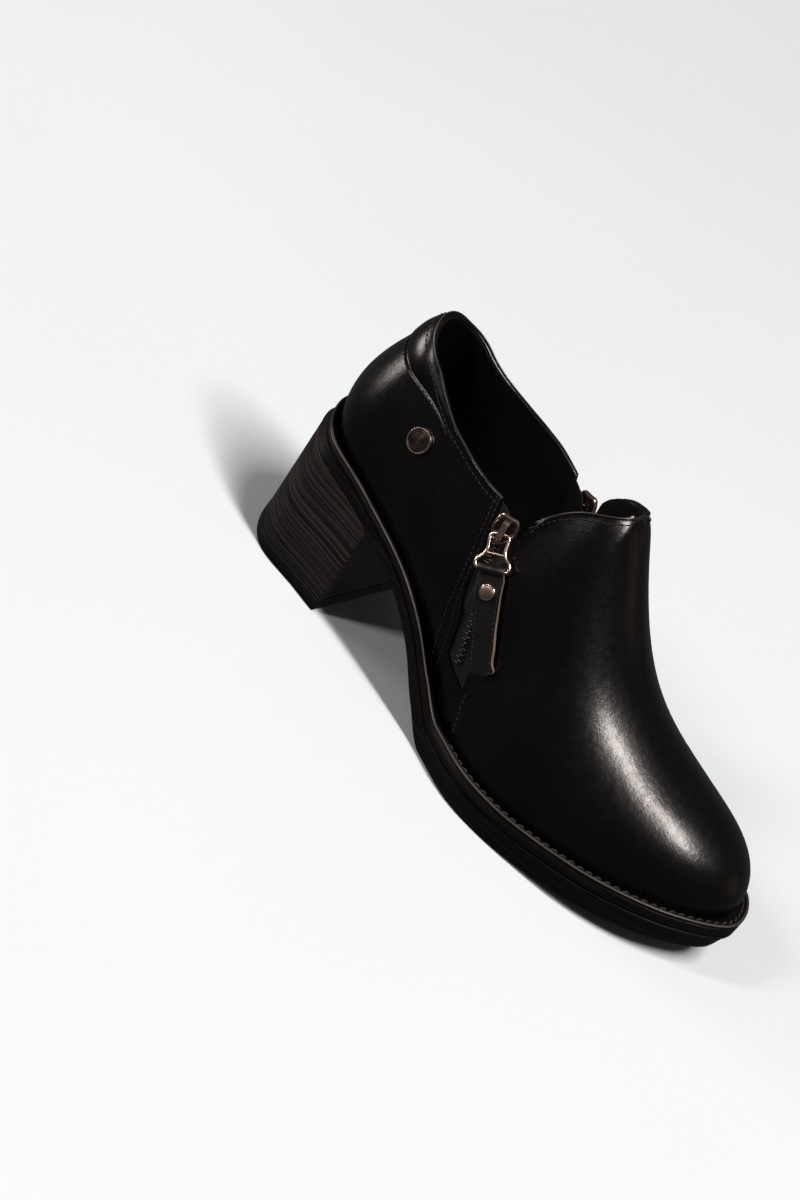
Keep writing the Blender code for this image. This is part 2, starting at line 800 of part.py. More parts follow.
def pull_frame(side):
    """Hinge of the pull: its point, the direction down the link, across and away from the shoe."""
    x = zip_x(0.5, SLIDER_SHARE)
    point, normal = surface(side, x, SLIDER_SHARE)
    lower = zip_point(side, 0.5, SLIDER_SHARE - 0.1, 0)
    down = lower - point
    down = unit(down - normal * down.dot(normal))
    return point, down, np.cross(normal, down), normal


def make_slider(name, side, material):
    """Body of the slider over the teeth, and the bridge that holds the link."""
    point, down, across, normal = pull_frame(side)
    half = 0.5 * SLIDER_LENGTH
    plan = ((-half, 0.34), (-0.75 * half, 0.5), (0.1 * half, 0.5), (half, 0.36),
            (half, -0.36), (0.1 * half, -0.5), (-0.75 * half, -0.5), (-half, -0.34))
    verts = []
    for height, inset in ((0.0, 0.0), (0.7 * SLIDER_THICKNESS, 0.0), (SLIDER_THICKNESS, 0.1)):
        for u, w in plan:
            verts.append(point + down * u * (1 - inset) + across * w * SLIDER_WIDTH * (1 - inset)
                         + normal * (SLIDER_BASE + height))
    count = len(plan)
    faces = [tuple(range(count)), tuple(range(2 * count, 3 * count))]
    for level in (0, 1):
        for k in range(count):
            after = (k + 1) % count
            faces.append((level * count + k, level * count + after,
                          (level + 1) * count + after, (level + 1) * count + k))
    body = new_object(name, verts, faces, material)
    top = SLIDER_BASE + SLIDER_THICKNESS
    rise = WIRE_DIAMETER + 2 * WIRE_PLAY
    reach_out = 0.5 * BRIDGE_LENGTH
    hole = reach_out - BRIDGE_BAR
    sink = 0.3 * SLIDER_THICKNESS
    outline = ((-reach_out, -sink), (-hole, -sink), (-hole, 0.7 * rise), (-0.6 * hole, rise), (0.6 * hole, rise),
               (hole, 0.7 * rise), (hole, -sink), (reach_out, -sink), (reach_out, 0.7 * rise),
               (0.6 * hole, rise + BRIDGE_BAR), (-0.6 * hole, rise + BRIDGE_BAR), (-reach_out, 0.7 * rise))
    cells = ((0, 1, 2, 11), (11, 2, 3, 10), (10, 3, 4, 9), (9, 4, 5, 8), (8, 5, 6, 7))
    ends = []
    for w in (-0.5 * BRIDGE_WIDTH, 0.5 * BRIDGE_WIDTH):
        ends.append([point + down * u + across * w + normal * (top + h) for u, h in outline])
    verts, faces = prism_of_cells(ends[0], ends[1], cells)
    bridge = new_object(name + "_bridge", verts, faces, material)
    join(body, bridge)
    return body


def join(body, other):
    """Union with another solid, which is then only a guide."""
    other.hide_render = True
    other.display_type = "WIRE"
    union = body.modifiers.new("union", "BOOLEAN")
    union.operation = "UNION"
    union.solver = "EXACT"
    union.object = other


def hinge_point(side):
    """Centre of the wire in the bridge, at the lower end of the hole."""
    point, down, across, normal = pull_frame(side)
    height = SLIDER_BASE + SLIDER_THICKNESS + WIRE_PLAY + 0.5 * WIRE_DIAMETER
    slip = 0.5 * BRIDGE_LENGTH - BRIDGE_BAR - 3 * WIRE_PLAY - 0.5 * WIRE_DIAMETER
    return point + normal * height + down * slip


def hang_path(side):
    """Walk down over the upper from the hinge, straight as seen from the side."""
    start = hinge_point(side)
    angle = math.radians(HANG_DEG)
    line = np.array((math.sin(angle), 0.0, -math.cos(angle)))
    steps = int(PULL_LENGTH / HANG_STEP) + 1
    here = start
    path = []
    for _ in range(steps + 1):
        here, normal = surface_at_height(side, here[0], here[2])
        heading = line.copy()
        heading[1] = -line.dot(normal) / normal[1]
        heading = unit(heading)
        path.append((here, heading, normal))
        here = here + heading * (PULL_LENGTH / steps)
    return path


def on_path(path, u):
    at = min(max(u / PULL_LENGTH, 0.0), 1.0) * (len(path) - 1)
    i = min(int(at), len(path) - 2)
    t = at - i
    point, heading, normal = (a * (1 - t) + b * t for a, b in zip(path[i], path[i + 1]))
    return point, unit(heading), unit(normal)


def tab_lift(across, normal):
    """Height of the tab's middle over the upper, more where the tab lies askew to it."""
    return TAB_LIFT + 0.5 * TAB_WIDTH * abs(across.dot(normal))


def pull_axes(side):
    """Bar of the link that carries the tab, and the axes of the link's plane."""
    hinge = hinge_point(side)
    out = pull_frame(side)[3]
    foot, heading, normal = on_path(hang_path(side), LINK_LENGTH)
    across = unit(np.cross(out, foot - hinge))
    bar = foot + normal * (tab_lift(across, normal) + FOLD_RADIUS)
    across = unit(np.cross(out, bar - hinge))
    down = unit(bar - hinge)
    return hinge, bar, down, across, np.cross(down, across)


def tube(points, radius, closed, sides=6):
    """Round wire along a path that lies in a plane."""
    points = [np.array(p) for p in points]
    count = len(points)
    plane = unit(np.cross(points[1] - points[0], points[count // 2] - points[0])) if closed else None
    verts = []
    for i, point in enumerate(points):
        before = points[i - 1] if closed or i else points[0]
        after = points[(i + 1) % count] if closed or i < count - 1 else points[-1]
        tangent = unit(after - before)
        up = plane if closed else unit(np.cross(tangent, (0.12, 0.31, 0.94)))
        beside = unit(np.cross(tangent, up))
        for k in range(sides):
            angle = 2 * math.pi * (k + 0.5) / sides
            verts.append(point + beside * radius * math.cos(angle) + up * radius * math.sin(angle))
    faces = []
    for i in range(count if closed else count - 1):
        after = (i + 1) % count
        for k in range(sides):
            nxt = (k + 1) % sides
            faces.append((i * sides + k, i * sides + nxt, after * sides + nxt, after * sides + k))
    if not closed:
        faces.append(tuple(range(sides)))
        faces.append(tuple(range((count - 1) * sides, count * sides)))
    return verts, faces


def round_corners(corners, radius, steps):
    """Closed path with an arc-like bend at each corner."""
    path = []
    count = len(corners)
    for i in range(count):
        here = corners[i]
        before = unit(corners[i - 1] - here)
        after = unit(corners[(i + 1) % count] - here)
        reach_back = min(radius, 0.45 * np.linalg.norm(corners[i - 1] - here),
                         0.45 * np.linalg.norm(corners[(i + 1) % count] - here))
        for step in range(steps + 1):
            t = step / steps
            path.append(here + before * reach_back * (1 - t) ** 2 + after * reach_back * t * t)
    return path


def make_link(name, side, material):
    """Bell shaped wire: a neck through the bridge, a cross bar and a wide foot for the tab."""
    hinge, bar, down, across, normal = pull_axes(side)
    length = np.linalg.norm(bar - hinge)
    neck, bell = 0.5 * LINK_NECK_WIDTH, 0.5 * LINK_BELL_WIDTH
    right = ((0.0, neck), (LINK_BAR_SHARE * length, 0.86 * neck), (0.80 * length, bell), (length, 0.97 * bell))
    corners = [hinge + down * u + across * w for u, w in right]
    corners += [hinge + down * u - across * w for u, w in reversed(right)]
    verts, faces = tube(round_corners(corners, LINK_CORNER, 3), 0.5 * WIRE_DIAMETER, True)
    link = new_object(name, verts, faces, material)
    level = LINK_BAR_SHARE * length
    ends = [hinge + down * level + across * w for w in (-0.84 * neck, 0.84 * neck)]
    verts, faces = tube(ends, 0.42 * WIRE_DIAMETER, False)
    join(link, new_object(name + "_bar", verts, faces, material))
    return link


def tab_station(side, u):
    """Underside of the tab at a distance from the bar, and its axes: it twists on to the upper."""
    across = pull_axes(side)[3]
    foot, heading, away = on_path(hang_path(side), LINK_LENGTH + u)
    askew = max(1 - u / TAB_TWIST_LENGTH, 0.0)
    beside = unit(np.cross(away, heading) * (1 - askew) + across * askew)
    low = foot + away * tab_lift(beside, away)
    return low, beside, unit(np.cross(heading, beside))


def make_tab(name, side, material):
    """Leather strip folded round the link's bar and hanging down over the upper."""
    hinge, bar, down, across, normal = pull_axes(side)
    ends = ([], [])
    cells = []
    turns = 8
    for radius in (FOLD_RADIUS - FOLD_LEATHER, FOLD_RADIUS):
        for k in range(turns):
            angle = 2 * math.pi * (k + 0.5) / turns
            spot = bar + down * radius * math.cos(angle) + normal * radius * math.sin(angle)
            for end, w in zip(ends, (-0.5, 0.5)):
                end.append(spot + across * w * TAB_WIDTH)
    for k in range(turns):
        after = (k + 1) % turns
        cells.append((k, after, turns + after, turns + k))
    previous = (turns, 2 * turns - 1)
    for i in range(1, TAB_STEPS + 1):
        low, beside, out = tab_station(side, FOLD_RADIUS + (TAB_LENGTH - 2 * FOLD_RADIUS) * i / TAB_STEPS)
        narrow = 1.0 if i < TAB_STEPS else 0.86
        for h in (TAB_THICKNESS, 0.0):
            for end, w in zip(ends, (-0.5, 0.5)):
                end.append(low + out * h + beside * w * TAB_WIDTH * narrow)
        upper, lower = len(ends[0]) - 2, len(ends[0]) - 1
        cells.append((previous[0], upper, lower, previous[1]))
        previous = (upper, lower)
    verts, faces = prism_of_cells(ends[0], ends[1], cells)
    return new_object(name, verts, faces, material)


def dome(name, centre, axis, rings, sides, material):
    """Turned piece from rows of radius and height above its base."""
    axis = unit(axis)
    first = unit(np.cross(axis, (1.0, 0.2, 0.1)))
    second = np.cross(axis, first)
    verts = []
    for radius, height in rings:
        for k in range(sides):
            angle = 2 * math.pi * k / sides
            verts.append(centre + axis * height + radius * (first * math.cos(angle) + second * math.sin(angle)))
    faces = [tuple(range(sides)), tuple(range(len(verts) - sides, len(verts)))]
    for level in range(len(rings) - 1):
        for k in range(sides):
            after = (k + 1) % sides
            faces.append((level * sides + k, level * sides + after,
                          (level + 1) * sides + after, (level + 1) * sides + k))
    return new_object(name, verts, faces, material)


def make_rivet(name, side, material):
    low, beside, out = tab_station(side, RIVET_FROM_BAR)
    centre = low + out * (TAB_THICKNESS + 1.5 * CLEARANCE)
    radius = 0.5 * RIVET_DIAMETER
    rings = ((0.94 * radius, 0.0), (radius, 0.25 * RIVET_HEIGHT), (0.9 * radius, 0.6 * RIVET_HEIGHT),
             (0.62 * radius, 0.88 * RIVET_HEIGHT), (0.3 * radius, RIVET_HEIGHT))
    return dome(name, centre, out, rings, 14, material)


def make_badge(material):
    """Plain round stud on the lateral quarter."""
    point, normal = surface(-1, x_at(BADGE_ALONG), BADGE_SHARE)
    radius = 0.5 * BADGE_DIAMETER
    rings = ((0.96 * radius, 0.0), (radius, 0.3 * BADGE_HEIGHT), (0.94 * radius, 0.85 * BADGE_HEIGHT),
             (0.84 * radius, BADGE_HEIGHT), (0.76 * radius, 0.82 * BADGE_HEIGHT),
             (0.4 * radius, 0.92 * BADGE_HEIGHT))
    return dome("badge", point + normal * CLEARANCE, normal, rings, 24, material)


def hang_on(pivot_name, hinge, pieces):
    """Parent the pieces to an empty on the hinge, with their own origins there too."""
    pivot = bpy.data.objects.new(pivot_name, None)
    pivot.location = hinge
    bpy.context.scene.collection.objects.link(pivot)
    for piece in pieces:
        piece.data.transform(Matrix.Translation(-Vector(hinge)))
        piece.parent = pivot


def make_zip(suffix, side, tape, metal, leather):
    make_zip_tape("zip_" + suffix, side, tape)
    make_slider("slider_" + suffix, side, metal)
    link = make_link("link_" + suffix, side, metal)
    tab = make_tab("tab_" + suffix, side, leather)
    rivet = make_rivet("rivet_" + suffix, side, metal)
    guides = [m.object for m in link.modifiers]
    hang_on("pull_" + suffix, hinge_point(side), [link, tab, rivet] + guides)


def principled(name, colour, roughness, metallic=0.0):
    material = bpy.data.materials.new(name)
    material.use_nodes = True
    shader = material.node_tree.nodes["Principled BSDF"]
    shader.inputs["Base Color"].default_value = colour
    shader.inputs["Roughness"].default_value = roughness
    shader.inputs["Metallic"].default_value = metallic
    return material


def main():
    clear_scene()
    leather = principled("black leather", BLACK_LEATHER, 0.35)
    rubber = principled("black rubber", BLACK_RUBBER, 0.6)
    stacked = principled("stacked heel", HEEL_BROWN, 0.6)
    lining = principled("lining", LINING_BLACK, 0.8)
    make_welt(rubber)
    make_outsole(rubber)
    make_heel(stacked, rubber)
    make_insole(lining)
    make_upper(leather)
    tape = principled("zip tape", TAPE_BLACK, 0.8)
    nickel = principled("nickel", NICKEL, 0.25, 1.0)
    for suffix, side in (("lateral", -1), ("medial", 1)):
        make_zip(suffix, side, tape, nickel, leather)
    make_badge(nickel)


main()
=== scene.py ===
import math

import bmesh
import bpy
import numpy as np
from mathutils import Matrix


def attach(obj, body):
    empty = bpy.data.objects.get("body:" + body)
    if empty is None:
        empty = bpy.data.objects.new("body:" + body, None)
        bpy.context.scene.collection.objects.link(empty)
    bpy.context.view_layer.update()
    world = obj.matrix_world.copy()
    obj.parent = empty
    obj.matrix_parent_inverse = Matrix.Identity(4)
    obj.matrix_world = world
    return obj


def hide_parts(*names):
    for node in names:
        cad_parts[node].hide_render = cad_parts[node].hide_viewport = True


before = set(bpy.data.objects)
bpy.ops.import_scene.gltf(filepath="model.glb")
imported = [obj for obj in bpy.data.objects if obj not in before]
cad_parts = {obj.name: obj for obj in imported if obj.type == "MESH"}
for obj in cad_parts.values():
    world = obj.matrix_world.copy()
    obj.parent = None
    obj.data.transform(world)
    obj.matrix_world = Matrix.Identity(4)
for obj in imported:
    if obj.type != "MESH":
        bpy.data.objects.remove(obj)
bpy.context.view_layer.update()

MM = 0.001

# Sizes of the sole, heel and upper, the same as the solids have
SOLE_LENGTH = 258 * MM
BALL_WIDTH = 93 * MM
SOLE_BACK_X = -35 * MM
HEEL_RISE = 52.5 * MM
TOE_SPRING = 11.0 * MM
BALL_THICKNESS = 15.5 * MM
HEEL_THICKNESS = 9.5 * MM
WELT_SHARE = 0.4
GROOVE_WIDTH = 0.8 * MM
RIM_WIDTH = 2.2 * MM
CHANNEL_DEPTH = 1.3 * MM
SIDE_UNDERCUT = 0.8 * MM
TOE_UNDERCUT = 3.0 * MM
BACK_FLARE = 1.6 * MM
TREAD_CHAMFER = 1.0 * MM
HEEL_INSET_TOP = 0.2 * MM
HEEL_TAPER = 1.0 * MM
TOP_LIFT_HEIGHT = 5.5 * MM
TOP_LIFT_STEP = 0.3 * MM
COLLAR_RISE = 61.7 * MM
INSTEP_RISE = 106.5 * MM
COLLAR_BACK_RADIUS = 17.4 * MM
FEATHER_INSET_HEEL = 4.0 * MM
FEATHER_INSET_TOE = 5.0 * MM
WALL = 2.0 * MM
VAMP_STEP = 0.8 * MM
PANEL_STEP = 0.7 * MM
PANEL_PADDING = 1.4 * MM
INSOLE_THICKNESS = 2.5 * MM
CLEARANCE = 0.3 * MM

# Sizes of the zips, their pulls and the badge, the same as the solids have
TAPE_DEPTH = 0.7 * MM
TEETH_HEIGHT = 1.1 * MM
SLIDER_LENGTH = 12.5 * MM
SLIDER_WIDTH = 10.0 * MM
SLIDER_THICKNESS = 2.4 * MM
SLIDER_BASE = TEETH_HEIGHT - TAPE_DEPTH + 2.5 * CLEARANCE
BRIDGE_WIDTH = 2.6 * MM
BRIDGE_LENGTH = 9.0 * MM
BRIDGE_BAR = 1.2 * MM
WIRE_DIAMETER = 1.5 * MM
WIRE_PLAY = 0.3 * MM
LINK_NECK_WIDTH = 7.8 * MM
LINK_BELL_WIDTH = 13.5 * MM
LINK_LENGTH = 15.5 * MM
LINK_BAR_SHARE = 0.56
LINK_CORNER = 2.2 * MM
TAB_WIDTH = 10.5 * MM
TAB_LENGTH = 42.0 * MM
TAB_THICKNESS = 1.6 * MM
TAB_TWIST_LENGTH = 27.0 * MM
TAB_LIFT = VAMP_STEP + 5 * CLEARANCE
FOLD_LEATHER = 0.8 * MM
FOLD_RADIUS = 0.5 * WIRE_DIAMETER + CLEARANCE + FOLD_LEATHER
PULL_LENGTH = LINK_LENGTH + TAB_LENGTH
HANG_STEP = 2.5 * MM
RIVET_FROM_BAR = 8.5 * MM
RIVET_DIAMETER = 6.4 * MM
RIVET_HEIGHT = 1.5 * MM
BADGE_DIAMETER = 10.8 * MM
BADGE_HEIGHT = 1.8 * MM
SLIDER_SHARE = 0.945
HANG_DEG = 36.0
BADGE_ALONG = 0.186
BADGE_SHARE = 0.68

# Sizes that only the looks have
LEATHER = 1.3 * MM
LINING_THICKNESS = 0.4 * MM
BEAD_WIDTH = 1.4 * MM
STITCH_RADIUS = 0.22 * MM

EDGE_TO_STITCH = 3.0 * MM
TAB_CORNER = 2.0 * MM

# Shares of the sole's length where the toe's undercut starts and the back's flare ends
TOE_FROM = 0.80
BACK_TO = 0.16

SOLE_OUTLINE = (
    # along, across
    (0.000, 0.000),
    (0.059, -0.285),
    (0.168, -0.333),
    (0.328, -0.366),
    (0.477, -0.430),
    (0.605, -0.525),
    (0.746, -0.468),
    (0.863, -0.355),
    (0.949, -0.183),
    (1.000, 0.054),
    (0.961, 0.312),
    (0.867, 0.425),
    (0.742, 0.473),
    (0.605, 0.457),
    (0.430, 0.344),
    (0.215, 0.328),
    (0.062, 0.285),
)

SOLE_LINE = (
    # along, heel, spring, ball
    (0.000, 1.000, 0.00, 0.00),
    (0.098, 0.939, 0.00, 0.00),
    (0.211, 0.827, 0.00, 0.00),
    (0.293, 0.700, 0.00, 0.08),
    (0.371, 0.485, 0.00, 0.35),
    (0.441, 0.195, 0.00, 0.80),
    (0.505, 0.000, 0.00, 1.00),
    (0.656, 0.000, 0.00, 1.00),
    (0.801, 0.000, 0.31, 1.00),
    (0.879, 0.000, 0.59, 1.00),
    (1.000, 0.000, 1.00, 1.00),
)

COLUMNS = (
    # foot, top, bow
    (0.129, 0.129, 1.1),
    (0.172, 0.164, 1.1),
    (0.210, 0.195, 1.1),
    (0.254, 0.230, 1.1),
    (0.300, 0.262, 1.1),
    (0.345, 0.290, 1.1),
    (0.385, 0.313, 1.1),
    (0.420, 0.331, 1.1),
    (0.452, 0.345, 1.1),
    (0.488, 0.376, 1.5),
    (0.5240, 0.4070, 2.0),
    (0.5275, 0.4095, 2.0),
    (0.546, 0.4140, 1.9),
    (0.568, 0.4240, 1.8),
    (0.590, 0.4450, 1.7),
    (0.611, 0.4710, 1.6),
    (0.630, 0.4890, 1.5),
    (0.648, 0.4990, 1.5),
    (0.668, 0.5030, 1.5),
    (0.691, 0.538, 1.5),
    (0.713, 0.583, 1.5),
    (0.735, 0.630, 1.5),
    (0.756, 0.676, 1.5),
    (0.778, 0.720, 1.5),
    (0.800, 0.762, 1.5),
    (0.820, 0.803, 1.5),
    (0.840, 0.840, 1.5),
)
LAST = len(COLUMNS) - 1
BREAST_COLUMN = 2
QUARTER_EDGE = 8
SLOT_FRONT = 10
VAMP_EDGE = 11
RIDGE = 18
FAN = 14

# Places round the shoe are numbered on: lateral columns, toe fan, medial columns, heel fan
MEDIAL = LAST + FAN + LAST
ROUND_SHOE = MEDIAL + FAN
POINTS_AT_ONCE = 2000

TOP_EDGE = (
    # along, mid, lateral, medial, lateral collar, medial collar, instep
    (0.061, 0.000, 0.150, 0.150, 1.000, 1.000, 0.000),
    (0.078, 0.000, 0.170, 0.170, 0.943, 0.950, 0.000),
    (0.105, 0.000, 0.182, 0.184, 0.898, 0.915, 0.000),
    (0.129, 0.000, 0.188, 0.190, 0.867, 0.885, 0.000),
    (0.176, 0.000, 0.220, 0.225, 0.812, 0.853, 0.000),
    (0.215, 0.000, 0.237, 0.245, 0.781, 0.865, 0.000),
    (0.262, 0.000, 0.247, 0.257, 0.788, 0.895, 0.000),
    (0.307, 0.000, 0.258, 0.268, 0.831, 0.927, 0.000),
    (0.370, 0.000, 0.258, 0.268, 0.930, 0.963, 0.000),
    (0.4095, 0.000, 0.263, 0.268, 0.000, 0.000, 0.623),
    (0.4140, 0.000, 0.242, 0.245, 0.000, 0.000, 0.683),
    (0.4240, 0.000, 0.215, 0.219, 0.000, 0.000, 0.746),
    (0.4450, 0.000, 0.180, 0.184, 0.000, 0.000, 0.835),
    (0.4710, 0.000, 0.142, 0.145, 0.000, 0.000, 0.920),
    (0.4890, 0.000, 0.104, 0.106, 0.000, 0.000, 0.968),
    (0.4990, 0.000, 0.060, 0.062, 0.000, 0.000, 0.992),
    (0.5030, 0.000, 0.000, 0.000, 0.000, 0.000, 1.000),
    (0.535, -0.004, 0.000, 0.000, 0.000, 0.000, 0.893),
    (0.559, -0.010, 0.000, 0.000, 0.000, 0.000, 0.810),
    (0.590, -0.014, 0.000, 0.000, 0.000, 0.000, 0.716),
    (0.621, -0.012, 0.000, 0.000, 0.000, 0.000, 0.625),
    (0.660, -0.004, 0.000, 0.000, 0.000, 0.000, 0.535),
    (0.703, 0.010, 0.000, 0.000, 0.000, 0.000, 0.463),
    (0.781, 0.034, 0.000, 0.000, 0.000, 0.000, 0.377),
    (0.863, 0.055, 0.000, 0.000, 0.000, 0.000, 0.306),
)

FULLNESS = (
    # along, side height, bulge of ball width, shoulder width, shoulder drop
    (0.000, 0.35, 0.105, 0.76, 0.34),
    (0.129, 0.33, 0.060, 0.60, 0.35),
    (0.250, 0.35, 0.055, 0.60, 0.35),
    (0.370, 0.36, 0.062, 0.55, 0.32),
    (0.410, 0.37, 0.064, 0.52, 0.31),
    (0.424, 0.38, 0.064, 0.60, 0.28),
    (0.445, 0.38, 0.064, 0.68, 0.24),
    (0.471, 0.39, 0.060, 0.70, 0.19),
    (0.489, 0.40, 0.055, 0.64, 0.145),
    (0.499, 0.40, 0.052, 0.605, 0.09),
    (0.503, 0.40, 0.050, 0.58, 0.00),
    (0.600, 0.40, 0.040, 0.54, 0.00),
    (0.700, 0.50, 0.036, 0.58, 0.00),
    (0.840, 0.55, 0.034, 0.64, 0.00),
    (1.000, 0.55, 0.030, 0.60, 0.00),
)

PANEL_SEAM = (
    # along, seam, step
    (0.061, 0.76, 1.0),
    (0.105, 0.81, 1.0),
    (0.150, 0.89, 0.9),
    (0.175, 0.93, 0.6),
    (0.210, 0.945, 0.0),
    (0.240, 0.95, 0.0),
    (0.480, 0.95, 0.0),
    (0.560, 0.90, 0.0),
)
SLOT_SHARE = 0.14

# Soft folds of the leather on both sides: troughs where the depth is above zero
CREASES = (
    # along, height over the floor, angle, half length, half width, depth, all lengths in mm
    (0.300, 66, 70, 13, 3.6, 0.16),
    (0.345, 62, 62, 12, 3.2, 0.14),
    (0.250, 74, 80, 12, 3.6, 0.14),
    (0.200, 78, 95, 10, 3.6, 0.10),
    (0.600, 62, 52, 15, 5.5, 0.16),
    (0.655, 48, 38, 14, 5.0, 0.14),
    (0.480, 40, 55, 12, 4.5, 0.14),
)


def table_columns(table):
    return [np.array(column) for column in zip(*table)]


def curve_of(knots, values):
    """Monotone cubic through the knots, as a function of an array."""
    step = np.diff(knots)
    slope = np.diff(values) / step
    tangent = np.zeros(len(knots))
    for i in range(1, len(knots) - 1):
        if slope[i - 1] * slope[i] > 0:
            left = 2 * step[i] + step[i - 1]
            right = step[i] + 2 * step[i - 1]
            tangent[i] = (left + right) / (left / slope[i - 1] + right / slope[i])
    tangent[0], tangent[-1] = slope[0], slope[-1]

    def value(at):
        at = np.clip(at, knots[0], knots[-1])
        i = np.clip(np.searchsorted(knots, at, side="right") - 1, 0, len(knots) - 2)
        u = (at - knots[i]) / step[i]
        return ((1 + 2 * u) * (1 - u) ** 2 * values[i] + u * (1 - u) ** 2 * step[i] * tangent[i]
                + u * u * (3 - 2 * u) * values[i + 1] + u * u * (u - 1) * step[i] * tangent[i + 1])

    return value


def curves_of(table):
    columns = table_columns(table)
    return [curve_of(columns[0], column) for column in columns[1:]]


LINE_HEEL, LINE_SPRING, LINE_BALL = curves_of(SOLE_LINE)
EDGE_MID, EDGE_LATERAL, EDGE_MEDIAL, COLLAR_LATERAL, COLLAR_MEDIAL, INSTEP = curves_of(TOP_EDGE)
SIDE_HEIGHT, BULGE, SHOULDER, DROP = curves_of(FULLNESS)
SEAM_AT, SEAM_STEP = curves_of(PANEL_SEAM)
FOOT_OF, TOP_OF, BOW_OF = [curve_of(np.arange(LAST + 1.0), column) for column in table_columns(COLUMNS)]


def along(x):
    return (x - SOLE_BACK_X) / SOLE_LENGTH


def x_at(share):
    return SOLE_BACK_X + share * SOLE_LENGTH


def sole_bottom(x):
    return HEEL_RISE * LINE_HEEL(along(x)) + TOE_SPRING * LINE_SPRING(along(x))


def sole_thickness(x):
    return HEEL_THICKNESS + (BALL_THICKNESS - HEEL_THICKNESS) * LINE_BALL(along(x))


def sole_top(x):
    return sole_bottom(x) + sole_thickness(x)


def sole_split(x):
    return sole_top(x) - WELT_SHARE * sole_thickness(x)


def seat(x):
    return sole_top(x) - CHANNEL_DEPTH


def middle(x):
    return BALL_WIDTH * EDGE_MID(along(x))


def feather_inset(x):
    return FEATHER_INSET_HEEL + (FEATHER_INSET_TOE - FEATHER_INSET_HEEL) * LINE_BALL(along(x))


def undercut(x):
    toe = np.clip((along(x) - TOE_FROM) / (1 - TOE_FROM), 0, 1)
    back = np.clip(1 - along(x) / BACK_TO, 0, 1)
    return SIDE_UNDERCUT + (TOE_UNDERCUT - SIDE_UNDERCUT) * toe * toe - (SIDE_UNDERCUT + BACK_FLARE) * back


def closed_curve(points, steps):
    curve = []
    count = len(points)
    for i in range(count):
        before, here, after, later = (points[(i + k) % count] for k in (-1, 0, 1, 2))
        for u in np.arange(steps) / steps:
            curve.append(0.5 * (2 * here + (after - before) * u
                                + (2 * before - 5 * here + 4 * after - later) * u * u
                                + (3 * here - before - 3 * after + later) * u ** 3))
    return np.array(curve)


OUTLINE = closed_curve([np.array((x_at(a), BALL_WIDTH * c)) for a, c in SOLE_OUTLINE], 24)


def inset_outline(inset):
    tangent = np.roll(OUTLINE, -1, axis=0) - np.roll(OUTLINE, 1, axis=0)
    inward = np.column_stack((-tangent[:, 1], tangent[:, 0]))
    inward /= np.linalg.norm(inward, axis=1)[:, None]
    return OUTLINE + inward * (inset(OUTLINE[:, 0]) + np.zeros(len(OUTLINE)))[:, None]


def reach(outline, centre, direction):
    """Distance from each centre to the outline in each direction."""
    edge = np.roll(outline, -1, axis=0) - outline
    start = outline[None] - centre[:, None]
    cross = direction[:, :1] * edge[None, :, 1] - direction[:, 1:] * edge[None, :, 0]
    cross = np.where(np.abs(cross) < 1e-15, 1e-15, cross)
    distance = (start[..., 0] * edge[None, :, 1] - start[..., 1] * edge[None, :, 0]) / cross
    share = (start[..., 0] * direction[:, 1:] - start[..., 1] * direction[:, :1]) / cross
    hit = (share >= -1e-9) & (share <= 1 + 1e-9) & (distance > 0)
    return np.where(hit, distance, 9.0).min(axis=1)


FEATHER = inset_outline(feather_inset)
HEEL_CENTRE = np.array((x_at(COLUMNS[0][0]), 0.0))
TOE_CENTRE = np.array((x_at(COLUMNS[-1][0]), float(middle(x_at(COLUMNS[-1][0])))))


def edge_height(x, side):
    collar = np.where(side < 0, COLLAR_LATERAL(along(x)), COLLAR_MEDIAL(along(x)))
    return seat(x) + collar * COLLAR_RISE + INSTEP(along(x)) * INSTEP_RISE


def edge_width(x, side):
    return BALL_WIDTH * np.where(side < 0, EDGE_LATERAL(along(x)), EDGE_MEDIAL(along(x)))


SLOPE_STEP = 2 * MM
TOE_SLOPE = float(edge_height(TOE_CENTRE[0], -1) - edge_height(TOE_CENTRE[0] - SLOPE_STEP, -1)) / SLOPE_STEP


def section(centre, direction, top_reach, side, v):
    """Points of the upper in upright planes, v = 0 on the sole and 1 at the upper edge."""
    foot_reach = reach(FEATHER, centre, direction)
    foot_x = centre[:, 0] + direction[:, 0] * foot_reach
    top_x = centre[:, 0] + direction[:, 0] * top_reach
    share = along(foot_x)
    low = seat(foot_x) + CLEARANCE
    high = edge_height(top_x, side)
    shoulder_reach = top_reach + SHOULDER(share) * (foot_reach - top_reach)
    ridge = np.where(direction[:, 0] > 0, TOE_SLOPE * direction[:, 0] * shoulder_reach, 0.0)
    reaches = (foot_reach, foot_reach + BULGE(share) * BALL_WIDTH, shoulder_reach, top_reach)
    heights = (low, low + SIDE_HEIGHT(share) * (high - low), high - DROP(share) * (high - low) + ridge, high)
    weights = ((1 - v) ** 3, 3 * v * (1 - v) ** 2, 3 * v * v * (1 - v), v ** 3)
    out = sum(w * r for w, r in zip(weights, reaches))
    height = sum(w * h for w, h in zip(weights, heights))
    plan = centre + direction * out[:, None]
    return np.column_stack((plan, height))


def side_point(x, side, v):
    """Points of one side by x and share of height."""
    x, v = np.broadcast_arrays(np.atleast_1d(np.asarray(x, float)), np.atleast_1d(np.asarray(v, float)))
    sides = np.full(len(x), float(side))
    direction = np.column_stack((np.zeros(len(x)), sides))
    return section(np.column_stack((x, middle(x))), direction, edge_width(x, sides), sides, v)


